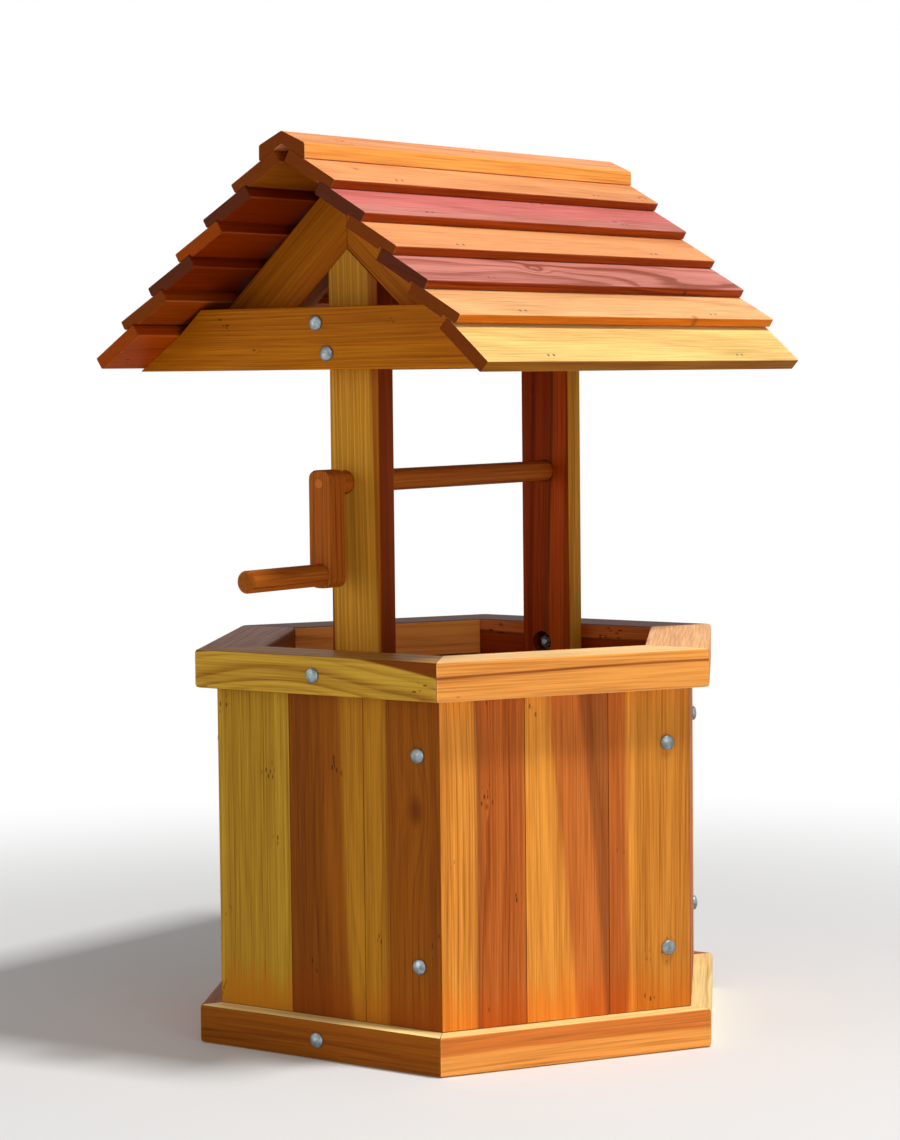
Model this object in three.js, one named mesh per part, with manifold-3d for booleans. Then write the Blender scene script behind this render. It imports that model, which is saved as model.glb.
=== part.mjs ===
// Wishing well planter: a six-sided planter box under a small lapped-board roof,
// with a hand crank that turns in the two roof posts.
// Millimetres, +Z up. The ridge and the crank lie along Y, and the crank's arm hangs in front
// of the -Y gable. The origin is on the ground, under the middle of the whole with its crank.

import * as THREE from 'three';
import { mergeVertices } from 'three/addons/utils/BufferGeometryUtils.js';
import Module from 'manifold-3d';

const wasm = await Module();
wasm.setup();

// Fits

const seatGap = 0.3; // between two pieces that touch
const boreClearance = 0.8; // round the axle, on the radius
const boltClearance = 0.4; // round a bolt's shank, on the radius
const floorClearance = 3; // between the floor boards and the walls or cleats
const notchClearance = 1.5; // between a floor board's notch and its post
const cutOverrun = 6; // how far a cutter runs past what it cuts

// Planter box

const sideCount = 6;
const panelApothem = 343; // from the middle of the box to a panel's outer face
const panelThickness = 19;
const panelHeight = 465;
const boardsPerPanel = 3;
const grooveWidth = 2;
const grooveDepth = 1.5;

const ringHeight = 56;
const ringWidth = 94;
const ringOverhang = 29; // past the panels' outer faces
const ringEase = 5; // radius of the eased edges

const cleatWidth = 89;
const cleatThickness = 38;

const floorBoardCount = 4;
const floorBoardThickness = 19;
const floorGap = 12; // between two floor boards, for drainage
const floorBearing = 20; // of the outer floor boards on the base ring

// Posts and gables

const postWidth = 89;
const postThickness = 38;
const postAside = 8; // from its gable's middle to its own, towards the right
const postEase = 6;
const timberEase = 3;

const rafterDepth = 89;
const rafterThickness = 38;

const collarHeight = 89;
const collarThickness = 57;

// Roof

const roofPitch = THREE.MathUtils.degToRad(42.1);
const gableOverhang = 91; // of the roof past the collar's face
const eaveLip = 10; // of the lowest board past the collar's end, down the slope
const leftEaveKick = THREE.MathUtils.degToRad(8); // how much flatter the lowest board lies there
const leftEaveWidth = 85; // of that board, which is ripped a little narrower
const boardsPerSlope = 6;
const roofBoardWidth = 89;
const roofBoardThickness = 19;
const roofBoardStep = 70; // down the slope, from board to board
const lipThickness = 14; // what the rabbet leaves of a board's lower edge
const rabbetGap = 3.5; // left open between a rabbet's shoulder and the next board
const ridgeSplit = 4.5; // from the middle to the first board's inner corner
const roofBoardEase = 2;

const capHalfWidth = 40;
const capCrown = 17.5; // thickness of the cap in the middle
const capPitch = THREE.MathUtils.degToRad(24.8);
const capEase = 2.5;

// Crank

const sweepAboveRim = 93; // between the rim and the arm as it swings past
const sweepBelowCollar = 12; // between the arm as it swings past and the collar
const axleOffset = -9; // the bore is a little to the left of the posts' middle
const dowelRadius = 16;
const dowelChamfer = 3;
const armWall = 3; // of the arm beside a dowel's socket
const armStandOff = 24; // between the front post and the arm
const armEndRadius = 11;
const armEase = 3;
const crankReach = 130; // from the axle to the handle
const handleLength = 168;
const socketDepth = 20;

// Carriage bolts

const shankRadius = 4.75;
const headRadius = 11;
const headHeight = 6;
const nutRadius = 9.5; // across the corners
const nutThickness = 8;
const washerRadius = 13;
const washerThickness = 2;
const threadEnd = 4; // how far the shank stands past its nut
const counterboreRadius = 17;
const counterboreDepth = 21;

const panelBoltInset = 37; // from a panel's right-hand corner
const panelBoltRise = 89; // of the lower one, above the base ring
const panelBoltDrop = 79; // of the upper one, below the rim
const upperBoltAside = -14; // in a collar, from the gable's middle towards the right
const lowerBoltAside = 5;
const collarBoltApart = 43; // one above the other
const backRingBoltAside = 16; // from the back gable's middle, towards its own right

// Curve steps

const easeSteps = 2;
const roundSteps = 28;
const boltSteps = 16;
const domeSteps = 3;
const filletShare = 0.45; // the most of an edge that one corner's rounding takes

// Colours of the stained timber and the zinc

const redTimber = 0x9c4a2c;
const orangeTimber = 0xc8783c;
const yellowTimber = 0xd29a52;
const brownTimber = 0xa9673a;
const darkTimber = 0x7d3f35;
const zinc = 0xb9bcbd;
const timberRoughness = 0.55;
const zincRoughness = 0.35;
const zincMetalness = 0.9;

// Places worked out from the sizes above

const sideAngle = (2 * Math.PI) / sideCount;
const halfSideTangent = Math.tan(sideAngle / 2);
const halfSideCosine = Math.cos(sideAngle / 2);
const frontAngle = -Math.PI / 2; // the first side looks along -Y
const halfTurn = Math.PI;
const quarterTurn = Math.PI / 2;

const ringOuter = panelApothem + ringOverhang;
const ringInner = ringOuter - ringWidth;
const rimBottom = ringHeight + panelHeight;
const rimMiddle = rimBottom + ringHeight / 2;
const baseMiddle = ringHeight / 2;
const panelInner = panelApothem - panelThickness;
const panelHalfWidth = panelApothem * halfSideTangent;
const panelBoardWidth = (2 * panelHalfWidth) / boardsPerPanel;
const panelBoltAside = panelHalfWidth - panelBoltInset;
const cleatRidge = (panelInner - seatGap) / halfSideCosine;
const cleatFace = cleatRidge - cleatThickness;
const floorSpan = 2 * (ringInner + floorBearing);
const floorBoardWidth = (floorSpan + floorGap) / floorBoardCount - floorGap;

const postOuter = ringInner - seatGap;
const postInner = postOuter - postThickness;
const postMiddle = (postOuter + postInner) / 2;

const armBack = postOuter + armStandOff;
const armSection = 2 * (dowelRadius + armWall);
const armFront = armBack + armSection;
const armEnd = armSection / 2;
const armSweep = crankReach + armEnd;
const socketBottom = armBack + socketDepth;
const axleHeight = rimBottom + ringHeight + sweepAboveRim + armSweep;

const collarInner = postOuter + seatGap;
const collarOuter = collarInner + collarThickness;
const collarBottom = axleHeight + armSweep + sweepBelowCollar;
const collarMiddle = collarBottom + collarHeight / 2;

const lapLift = Math.asin((lipThickness + seatGap) / roofBoardStep);
const boardPitch = roofPitch - lapLift;
const firstBoardAlong = (ridgeSplit - seatGap * Math.sin(roofPitch)) / Math.cos(roofPitch);
const eaveAlong = firstBoardAlong + (boardsPerSlope - 1) * roofBoardStep + roofBoardWidth;
const gableSlope = eaveAlong - eaveLip; // from the peak to the collar's bottom corner
const rafterPeak = collarBottom + gableSlope * Math.sin(roofPitch);
const rafterValley = rafterPeak - rafterDepth / Math.cos(roofPitch);
const rabbetLength = roofBoardWidth - roofBoardStep * Math.cos(lapLift) + rabbetGap;
const roofLength = 2 * (collarOuter + gableOverhang);

// Solids and booleans

function solidOf(geometry) {
  geometry.deleteAttribute('normal');
  geometry.deleteAttribute('uv');
  const merged = mergeVertices(geometry);
  return new wasm.Manifold(new wasm.Mesh({
    numProp: 3,
    vertProperties: merged.attributes.position.array,
    triVerts: new Uint32Array(merged.index.array),
  }));
}

function geometryOf(solid) {
  const mesh = solid.getMesh();
  const geometry = new THREE.BufferGeometry();
  geometry.setAttribute('position', new THREE.BufferAttribute(mesh.vertProperties, 3));
  geometry.setIndex(new THREE.BufferAttribute(mesh.triVerts, 1));
  const flat = geometry.toNonIndexed();
  flat.computeVertexNormals();
  return flat;
}

function cut(geometry, ...cutters) {
  const left = cutters.reduce((solid, cutter) => solid.subtract(solidOf(cutter)), solidOf(geometry));
  return geometryOf(left);
}

function keepInside(geometry, ...limits) {
  const left = limits.reduce((solid, limit) => solid.intersect(solidOf(limit)), solidOf(geometry));
  return geometryOf(left);
}

function join(geometry, ...others) {
  const whole = others.reduce((solid, other) => solid.add(solidOf(other)), solidOf(geometry));
  return geometryOf(whole);
}

// Basic forms

function outlineShape(corners) {
  return new THREE.Shape(corners.map(([x, y]) => new THREE.Vector2(x, y)));
}

// An outline with every corner rounded off
function easedShape(corners, radius) {
  const points = corners.map(([x, y]) => new THREE.Vector2(x, y));
  const shape = new THREE.Shape();
  points.forEach((corner, i) => {
    const before = points[(i + points.length - 1) % points.length];
    const after = points[(i + 1) % points.length];
    const shortest = Math.min(corner.distanceTo(before), corner.distanceTo(after));
    const reach = Math.min(radius, filletShare * shortest);
    const start = corner.clone().add(before.clone().sub(corner).setLength(reach));
    const end = corner.clone().add(after.clone().sub(corner).setLength(reach));
    if (i === 0) {
      shape.moveTo(start.x, start.y);
    } else {
      shape.lineTo(start.x, start.y);
    }
    shape.quadraticCurveTo(corner.x, corner.y, end.x, end.y);
  });
  shape.closePath();
  return shape;
}

// A section in X and Z, drawn out along Y and centred there
function barAlongY(shape, length) {
  const geometry = new THREE.ExtrudeGeometry(shape, {
    depth: length,
    steps: 1,
    curveSegments: easeSteps,
    bevelEnabled: false,
  });
  geometry.rotateX(quarterTurn);
  geometry.translate(0, length / 2, 0);
  return geometry;
}

// A plan in X and Y, drawn up from a height
function slabUp(shape, bottom, height) {
  const geometry = new THREE.ExtrudeGeometry(shape, {
    depth: height,
    steps: 1,
    curveSegments: easeSteps,
    bevelEnabled: false,
  });
  geometry.translate(0, 0, bottom);
  return geometry;
}

function rectangle(width, height) {
  return [
    [-width / 2, -height / 2],
    [width / 2, -height / 2],
    [width / 2, height / 2],
    [-width / 2, height / 2],
  ];
}

// A length of timber with eased long edges, along Y and centred
function timberAlongY(width, height, length, ease) {
  return barAlongY(easedShape(rectangle(width, height), ease), length);
}

function cylinderAlongY(radius, length, steps = roundSteps) {
  return new THREE.CylinderGeometry(radius, radius, length, steps);
}

// A cutter for a bolt's hole, along Y and centred
function boltHole(depth) {
  return cylinderAlongY(shankRadius + boltClearance, depth + 2 * cutOverrun, boltSteps);
}

// A dowel along Y between two places, its ends chamfered
function dowelAlongY(start, end) {
  const outline = [
    [0, start],
    [dowelRadius - dowelChamfer, start],
    [dowelRadius, start + dowelChamfer],
    [dowelRadius, end - dowelChamfer],
    [dowelRadius - dowelChamfer, end],
    [0, end],
  ];
  return new THREE.LatheGeometry(outline.map(([r, y]) => new THREE.Vector2(r, y)), roundSteps);
}

// A plan of the box at an apothem
function boxPlan(apothem, turn) {
  const radius = apothem / halfSideCosine;
  return Array.from({ length: sideCount }, (_, i) => {
    const angle = turn + i * sideAngle;
    return [radius * Math.cos(angle), radius * Math.sin(angle)];
  });
}

// The wedge between one side's two mitre planes, set back by half the seat gap at each
function sideWedge(height) {
  const reach = ringOuter + cutOverrun;
  const corners = [
    [seatGap, 0],
    [reach, -(reach - seatGap) * halfSideTangent],
    [reach, (reach - seatGap) * halfSideTangent],
  ];
  return slabUp(outlineShape(corners), -cutOverrun, height + 2 * cutOverrun);
}

// Carriage bolts, along Y with the head's seat at the origin and the head towards -Y

function boltBlank(shankLength) {
  const dome = Array.from({ length: domeSteps + 1 }, (_, i) => {
    const angle = (i / domeSteps) * quarterTurn;
    return new THREE.Vector2(headRadius * Math.sin(angle), -headHeight * Math.cos(angle));
  });
  const shank = [
    new THREE.Vector2(shankRadius, 0),
    new THREE.Vector2(shankRadius, shankLength),
    new THREE.Vector2(0, shankLength),
  ];
  return new THREE.LatheGeometry([...dome, ...shank], boltSteps);
}

// A bolt through a grip, with its washer and nut
function boltWithNut(grip) {
  const washerSeat = grip + seatGap;
  const nutSeat = washerSeat + washerThickness;
  const washer = cylinderAlongY(washerRadius, washerThickness, boltSteps);
  washer.translate(0, washerSeat + washerThickness / 2, 0);
  const nut = cylinderAlongY(nutRadius, nutThickness, sideCount);
  nut.translate(0, nutSeat + nutThickness / 2, 0);
  return join(boltBlank(nutSeat + nutThickness + threadEnd), washer, nut);
}

// Planter box, each side piece drawn with its outward direction along +X

function ringPiece(boltAside = null) {
  const section = rectangle(ringWidth, ringHeight).map(([x, z]) => [
    x + (ringOuter + ringInner) / 2,
    z + ringHeight / 2,
  ]);
  const bar = barAlongY(easedShape(section, ringEase), 2 * (ringOuter + cutOverrun) * halfSideTangent);
  const mitred = keepInside(bar, sideWedge(ringHeight));
  if (boltAside === null) {
    return mitred;
  }
  const hole = boltHole(ringWidth);
  hole.rotateZ(quarterTurn);
  hole.translate((ringOuter + ringInner) / 2, boltAside, ringHeight / 2);
  return cut(mitred, hole);
}

function panelBoltHeights() {
  return [ringHeight + panelBoltRise, rimBottom - panelBoltDrop];
}

// Three upright boards side by side, a small V where two of them meet
function wallPanel() {
  const outerHalf = (panelApothem - seatGap) * halfSideTangent;
  const innerHalf = (panelInner - seatGap) * halfSideTangent;
  const joints = Array.from(
    { length: boardsPerPanel - 1 },
    (_, i) => (i + 1 - boardsPerPanel / 2) * panelBoardWidth,
  );
  const outerFace = joints.flatMap((y) => [
    [panelApothem, y - grooveWidth / 2],
    [panelApothem - grooveDepth, y],
    [panelApothem, y + grooveWidth / 2],
  ]);
  const innerFace = joints.toReversed().flatMap((y) => [
    [panelInner, y + grooveWidth / 2],
    [panelInner + grooveDepth, y],
    [panelInner, y - grooveWidth / 2],
  ]);
  const plan = outlineShape([
    [panelApothem, -outerHalf],
    ...outerFace,
    [panelApothem, outerHalf],
    [panelInner, innerHalf],
    ...innerFace,
    [panelInner, -innerHalf],
  ]);
  const holes = panelBoltHeights().map((z) => {
    const hole = boltHole(panelThickness);
    hole.rotateZ(quarterTurn);
    return hole.translate((panelApothem + panelInner) / 2, panelBoltAside, z);
  });
  return cut(slabUp(plan, ringHeight + seatGap, panelHeight - 2 * seatGap), ...holes);
}

// A length of timber bevelled to a ridge that fits the box's inside corner, drawn with the
// corner along +X, and the two bolts of the panel that ends there
function cornerCleat() {
  const shoulder = cleatRidge - (cleatWidth / 2) * halfSideTangent;
  const plan = outlineShape([
    [cleatRidge, 0],
    [shoulder, cleatWidth / 2],
    [cleatFace, cleatWidth / 2],
    [cleatFace, -cleatWidth / 2],
    [shoulder, -cleatWidth / 2],
  ]);
  const cleat = slabUp(plan, ringHeight + seatGap, panelHeight - 2 * seatGap);
  const bolts = panelBoltHeights().map((z) => {
    const bolt = boltBlank(panelThickness + cleatThickness / 2);
    bolt.translate(panelBoltAside, -(panelApothem + seatGap), z);
    return bolt.rotateZ(quarterTurn - sideAngle / 2);
  });
  return join(cleat, ...bolts);
}

// A floor board along X at its place, its ends cut to the walls and the cleats
function floorBoard(index) {
  const y = (index - (floorBoardCount - 1) / 2) * (floorBoardWidth + floorGap);
  const bottom = ringHeight + seatGap;
  const plank = timberAlongY(floorBoardWidth, floorBoardThickness, 2 * ringOuter, timberEase);
  plank.rotateZ(quarterTurn);
  plank.translate(0, y, bottom + floorBoardThickness / 2);
  const tall = floorBoardThickness + 2 * cutOverrun;
  const walls = slabUp(outlineShape(boxPlan(panelInner - floorClearance, 0)), bottom - cutOverrun, tall);
  const cleats = slabUp(
    outlineShape(boxPlan(cleatFace - floorClearance, sideAngle / 2)),
    bottom - cutOverrun,
    tall,
  );
  const board = keepInside(plank, walls, cleats);
  const onPost = Math.abs(y) + floorBoardWidth / 2 > postInner - notchClearance;
  if (!onPost) {
    return board;
  }
  const notchDepth = ringOuter - postInner + notchClearance;
  const notch = slabUp(
    outlineShape(rectangle(postWidth + 2 * notchClearance, notchDepth)),
    bottom - cutOverrun,
    tall,
  );
  notch.translate(-Math.sign(y) * postAside, Math.sign(y) * (ringOuter - notchDepth / 2), 0);
  return cut(board, notch);
}

// Gable, drawn as the front one, which looks along -Y

function collarBoltPlaces() {
  return [
    [upperBoltAside, collarMiddle + collarBoltApart / 2],
    [lowerBoltAside, collarMiddle - collarBoltApart / 2],
  ];
}

// The post stands a little aside, but its peak stays in the gable's middle
function post(boreX, ringBoltX) {
  const top = rafterValley - seatGap / Math.cos(roofPitch);
  const blank = timberAlongY(postWidth, postThickness, top, postEase);
  blank.rotateX(quarterTurn);
  blank.translate(postAside, -postMiddle, top / 2);
  const wide = postWidth / 2 + Math.abs(postAside) + cutOverrun;
  const shoulder = top - wide * Math.tan(roofPitch);
  const peak = outlineShape([
    [-wide, -cutOverrun],
    [wide, -cutOverrun],
    [wide, shoulder],
    [0, top],
    [-wide, shoulder],
  ]);
  const limit = barAlongY(peak, 2 * (postOuter + cutOverrun));
  const boltPlaces = [[ringBoltX, baseMiddle], [ringBoltX, rimMiddle], ...collarBoltPlaces()];
  const holes = boltPlaces.map(([x, z]) => boltHole(postThickness).translate(x, -postMiddle, z));
  const counterbores = boltPlaces.map(([x, z]) => {
    const recess = cylinderAlongY(counterboreRadius, counterboreDepth + cutOverrun, boltSteps);
    return recess.translate(x, -(postInner + (counterboreDepth - cutOverrun) / 2), z);
  });
  const axleBore = cylinderAlongY(dowelRadius + boreClearance, postThickness + 2 * cutOverrun);
  axleBore.translate(boreX, -postMiddle, axleHeight);
  return cut(keepInside(blank, limit), axleBore, ...holes, ...counterbores);
}

// The right-hand rafter; its foot is cut level with the collar's bottom
function rafter() {
  const length = gableSlope + rafterDepth;
  const blank = timberAlongY(rafterThickness, rafterDepth, 2 * length, timberEase);
  blank.rotateZ(quarterTurn);
  blank.translate(0, 0, -rafterDepth / 2);
  blank.rotateY(roofPitch);
  blank.translate(0, -(postOuter - rafterThickness / 2), rafterPeak);
  const limit = outlineShape([
    [seatGap / 2, collarBottom],
    [length, collarBottom],
    [length, rafterPeak + cutOverrun],
    [seatGap / 2, rafterPeak + cutOverrun],
  ]);
  return keepInside(blank, barAlongY(limit, 2 * (postOuter + cutOverrun)));
}

// The collar: a level beam across the gable, its ends cut to the roof's slope. On the left the
// lowest roof board lies flatter, and the end turns outwards under it; leftHand is -1 or 1
function collar(leftHand) {
  const eavePitch = roofPitch - leftEaveKick;
  const eave = eavePlace(leftEaveKick);
  const slopeAt = (z) => (rafterPeak - z) / Math.tan(roofPitch);
  const underEaveAt = (z) => eave.x + (eave.z - seatGap / Math.cos(eavePitch) - z) / Math.tan(eavePitch);
  const top = collarBottom + collarHeight;
  const blank = timberAlongY(collarThickness, collarHeight, 2 * underEaveAt(collarBottom), timberEase);
  blank.rotateZ(quarterTurn);
  blank.translate(0, -(collarInner + collarThickness / 2), collarMiddle);
  const below = collarBottom - cutOverrun;
  const above = top + cutOverrun;
  const limit = outlineShape([
    [leftHand * underEaveAt(below), below],
    [-leftHand * slopeAt(below), below],
    [-leftHand * slopeAt(above), above],
    [leftHand * slopeAt(above), above],
    [leftHand * slopeAt(eave.z), eave.z],
  ]);
  const holes = collarBoltPlaces().map(([x, z]) => {
    const hole = boltHole(collarThickness);
    return hole.translate(x, -(collarInner + collarThickness / 2), z);
  });
  return cut(keepInside(blank, barAlongY(limit, 2 * (collarOuter + cutOverrun))), ...holes);
}

// Roof, drawn as the right-hand slope

// A board from its upper inner corner, with a rabbet under its lower edge for the next one
function lappedBoard() {
  const rabbetStart = roofBoardWidth - rabbetLength;
  const rabbetCeiling = roofBoardThickness - lipThickness;
  const section = [
    [0, 0],
    [rabbetStart, 0],
    [rabbetStart, rabbetCeiling],
    [roofBoardWidth, rabbetCeiling],
    [roofBoardWidth, roofBoardThickness],
    [0, roofBoardThickness],
  ];
  return barAlongY(easedShape(section, roofBoardEase), roofLength);
}

function eaveBoard(width) {
  const section = [
    [0, 0],
    [width, 0],
    [width, roofBoardThickness],
    [0, roofBoardThickness],
  ];
  return barAlongY(easedShape(section, roofBoardEase), roofLength);
}

// A place on the slope, so far down it from the peak and so far out from the rafters' top edges
function onSlope(along, out) {
  return new THREE.Vector3(
    along * Math.cos(roofPitch) + out * Math.sin(roofPitch),
    0,
    rafterPeak - along * Math.sin(roofPitch) + out * Math.cos(roofPitch),
  );
}

// A place for the lowest board: kicked up, it turns about its upper outer corner, on which the
// next board's lip rests
function eavePlace(kick) {
  const along = firstBoardAlong + (boardsPerSlope - 1) * roofBoardStep + roofBoardThickness * Math.sin(kick);
  return onSlope(along, seatGap + roofBoardThickness * (1 - Math.cos(kick)));
}

// The cap's underside lies on the first boards' outer faces
function ridgeCap() {
  const corner = onSlope(firstBoardAlong, seatGap);
  const faceX = corner.x + roofBoardThickness * Math.sin(boardPitch);
  const faceZ = corner.z + roofBoardThickness * Math.cos(boardPitch);
  const inside = faceZ + faceX * Math.tan(boardPitch) + seatGap / Math.cos(boardPitch);
  const crown = inside + capCrown;
  const edgeTop = crown - capHalfWidth * Math.tan(capPitch);
  const edgeBottom = inside - capHalfWidth * Math.tan(boardPitch);
  const section = [
    [0, inside],
    [capHalfWidth, edgeBottom],
    [capHalfWidth, edgeTop],
    [0, crown],
    [-capHalfWidth, edgeTop],
    [-capHalfWidth, edgeBottom],
  ];
  return barAlongY(easedShape(section, capEase), roofLength);
}

// Crank, drawn with the axle's line at the origin

function crankAxle() {
  return dowelAlongY(-socketBottom + seatGap, postOuter);
}

function crankHandle() {
  return dowelAlongY(-(armFront + handleLength), -(armFront - socketDepth + seatGap));
}

// The arm, hanging down, with a socket in its back for the axle and one in its front for the handle
function crankArm() {
  const inset = armEnd - armEase;
  const low = -crankReach - inset;
  const outline = [
    [-inset, low],
    [inset, low],
    [inset, inset],
    [-inset, inset],
  ];
  const arm = new THREE.ExtrudeGeometry(easedShape(outline, armEndRadius), {
    depth: armSection - 2 * armEase,
    steps: 1,
    curveSegments: 2 * easeSteps,
    bevelEnabled: true,
    bevelThickness: armEase,
    bevelSize: armEase,
    bevelSegments: easeSteps,
  });
  arm.rotateX(quarterTurn);
  arm.translate(0, -(armBack + armEase), 0);
  const socketRadius = dowelRadius + seatGap;
  const axleSocket = cylinderAlongY(socketRadius, socketDepth + cutOverrun);
  axleSocket.translate(0, -(socketBottom + armBack - cutOverrun) / 2, 0);
  const handleSocket = cylinderAlongY(socketRadius, socketDepth + cutOverrun);
  handleSocket.translate(0, -(armFront + (cutOverrun - socketDepth) / 2), -crankReach);
  return cut(arm, axleSocket, handleSocket);
}

// Meshes

function timber(colour) {
  return new THREE.MeshStandardMaterial({ color: colour, roughness: timberRoughness, metalness: 0 });
}

const zincMetal = new THREE.MeshStandardMaterial({
  color: zinc,
  roughness: zincRoughness,
  metalness: zincMetalness,
});

function piece(name, geometry, material) {
  const mesh = new THREE.Mesh(geometry, material);
  mesh.name = name;
  return mesh;
}

function buildBox() {
  const box = new THREE.Group();
  const plainRing = ringPiece();
  const frontRing = ringPiece(0);
  const backRing = ringPiece(backRingBoltAside);
  const panel = wallPanel();
  const cleat = cornerCleat();
  for (let side = 0; side < sideCount; side += 1) {
    const number = side + 1;
    const ring = { 0: frontRing, [sideCount / 2]: backRing }[side] ?? plainRing;
    const base = piece(`base_ring_${number}`, ring, timber(redTimber));
    const rim = piece(`rim_${number}`, ring, timber(orangeTimber));
    rim.position.z = rimBottom;
    const wall = piece(`wall_panel_${number}`, panel, timber(side % 2 ? brownTimber : yellowTimber));
    const turned = new THREE.Group();
    turned.add(base, rim, wall);
    turned.rotation.z = frontAngle + side * sideAngle;
    const corner = piece(`corner_cleat_${number}`, cleat, timber(brownTimber));
    corner.rotation.z = turned.rotation.z + sideAngle / 2;
    box.add(turned, corner);
  }
  for (let i = 0; i < floorBoardCount; i += 1) {
    box.add(piece(`floor_board_${i + 1}`, floorBoard(i), timber(brownTimber)));
  }
  return box;
}

function buildGable(end, leftHand, boreX, ringBoltX) {
  const gable = new THREE.Group();
  gable.add(piece(`post_${end}`, post(boreX, ringBoltX), timber(yellowTimber)));
  gable.add(piece(`collar_${end}`, collar(leftHand), timber(yellowTimber)));
  const rafterForm = rafter();
  const rightRafter = piece(`rafter_${end}_1`, rafterForm, timber(orangeTimber));
  const leftRafter = piece(`rafter_${end}_2`, rafterForm, timber(orangeTimber));
  leftRafter.rotation.z = halfTurn;
  leftRafter.position.y = -2 * (postOuter - rafterThickness / 2);
  gable.add(rightRafter, leftRafter);
  const ringGrip = ringOuter - postInner - counterboreDepth + seatGap;
  const collarGrip = collarOuter - postInner - counterboreDepth + seatGap;
  const ringBolt = boltWithNut(ringGrip);
  const collarBolt = boltWithNut(collarGrip);
  const rimBolt = piece(`rim_bolt_${end}`, ringBolt, zincMetal);
  rimBolt.position.set(ringBoltX, -(ringOuter + seatGap), rimMiddle);
  const baseBolt = piece(`base_bolt_${end}`, ringBolt, zincMetal);
  baseBolt.position.set(ringBoltX, -(ringOuter + seatGap), baseMiddle);
  gable.add(rimBolt, baseBolt);
  collarBoltPlaces().forEach(([x, z], i) => {
    const bolt = piece(`collar_bolt_${end}_${i + 1}`, collarBolt, zincMetal);
    bolt.position.set(x, -(collarOuter + seatGap), z);
    gable.add(bolt);
  });
  return gable;
}

function buildSlope(side, eaveKick, eaveWidth) {
  const colours = [orangeTimber, redTimber, orangeTimber, darkTimber, orangeTimber];
  const slope = new THREE.Group();
  const lapped = lappedBoard();
  for (let i = 0; i < boardsPerSlope - 1; i += 1) {
    const board = piece(`roof_board_${side}_${i + 1}`, lapped, timber(colours[i % colours.length]));
    board.position.copy(onSlope(firstBoardAlong + i * roofBoardStep, seatGap));
    board.rotation.y = boardPitch;
    slope.add(board);
  }
  const eave = piece(`roof_board_${side}_${boardsPerSlope}`, eaveBoard(eaveWidth), timber(yellowTimber));
  eave.position.copy(eavePlace(eaveKick));
  eave.rotation.y = roofPitch - eaveKick;
  slope.add(eave);
  return slope;
}

function buildCrank() {
  const crank = new THREE.Group();
  crank.add(piece('crank_axle', crankAxle(), timber(redTimber)));
  crank.add(piece('crank_arm', crankArm(), timber(redTimber)));
  const handle = piece('crank_handle', crankHandle(), timber(redTimber));
  handle.position.z = -crankReach;
  crank.add(handle);
  crank.position.set(axleOffset, 0, axleHeight);
  return crank;
}

const well = new THREE.Group();

const frontGable = buildGable('front', -1, axleOffset, 0);
const backGable = buildGable('back', 1, -axleOffset, backRingBoltAside);
backGable.rotation.z = halfTurn;

const rightSlope = buildSlope('right', 0, roofBoardWidth);
const leftSlope = buildSlope('left', leftEaveKick, leftEaveWidth);
leftSlope.rotation.z = halfTurn;

const cap = piece('ridge_cap', ridgeCap(), timber(orangeTimber));

well.add(buildBox(), frontGable, backGable, rightSlope, leftSlope, cap, buildCrank());

// The crank's handle reaches further forward than the roof does back
well.position.y = (armFront + handleLength - roofLength / 2) / 2;

export default well;
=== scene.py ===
# %% [markdown]
# # A wishing well planter
#
# This is a garden planter in the shape of a wishing well: a six-sided box of stained softwood
# boards, a small lapped roof on two posts, and a hand crank that turns between the posts.
# The construction is already drawn as a frame of solids. Here every board gets its grain and
# its stain, the walls get separate boards, and the bolts get their round zinc heads.
#
# Everything below is in metres, with Z up. The front gable looks along -Y.

# %% Load the frame
from math import cos, pi, radians, sin, tan

import bmesh
import bpy
import numpy as np
from mathutils import Matrix, Vector


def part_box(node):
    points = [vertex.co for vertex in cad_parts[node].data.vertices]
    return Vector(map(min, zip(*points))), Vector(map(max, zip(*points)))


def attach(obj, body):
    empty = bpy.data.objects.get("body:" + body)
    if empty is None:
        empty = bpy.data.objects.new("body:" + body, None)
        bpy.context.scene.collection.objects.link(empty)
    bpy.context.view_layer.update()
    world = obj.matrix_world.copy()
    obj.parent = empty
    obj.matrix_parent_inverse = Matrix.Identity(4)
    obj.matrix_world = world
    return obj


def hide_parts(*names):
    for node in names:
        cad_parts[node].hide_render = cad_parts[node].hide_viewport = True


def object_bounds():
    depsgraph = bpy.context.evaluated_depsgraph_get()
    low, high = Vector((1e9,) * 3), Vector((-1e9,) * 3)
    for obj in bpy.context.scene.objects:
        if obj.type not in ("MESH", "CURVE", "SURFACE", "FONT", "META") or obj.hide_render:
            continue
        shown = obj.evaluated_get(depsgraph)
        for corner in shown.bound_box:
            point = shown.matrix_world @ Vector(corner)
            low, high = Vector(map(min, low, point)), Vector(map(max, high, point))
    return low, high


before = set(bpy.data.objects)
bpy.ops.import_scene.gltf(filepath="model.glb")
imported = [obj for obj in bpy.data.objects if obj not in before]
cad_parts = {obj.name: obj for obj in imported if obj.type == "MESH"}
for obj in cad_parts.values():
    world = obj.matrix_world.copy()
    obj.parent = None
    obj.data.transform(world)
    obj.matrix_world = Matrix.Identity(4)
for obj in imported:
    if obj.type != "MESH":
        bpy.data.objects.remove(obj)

MM = 0.001
cad_low, cad_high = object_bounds()
print("the frame measures", [round(size, 3) for size in cad_high - cad_low], "m")

# %% [markdown]
# ## The camera
#
# A photograph of a thing with straight edges tells where its camera stood. The well was seen
# from a little above the rim, turned about 35 degrees to the right of the front, from almost
# five metres away with a long lens. The camera also leaned by less than one degree.
# Placing it first means that every later piece can be compared with the photograph.

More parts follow.
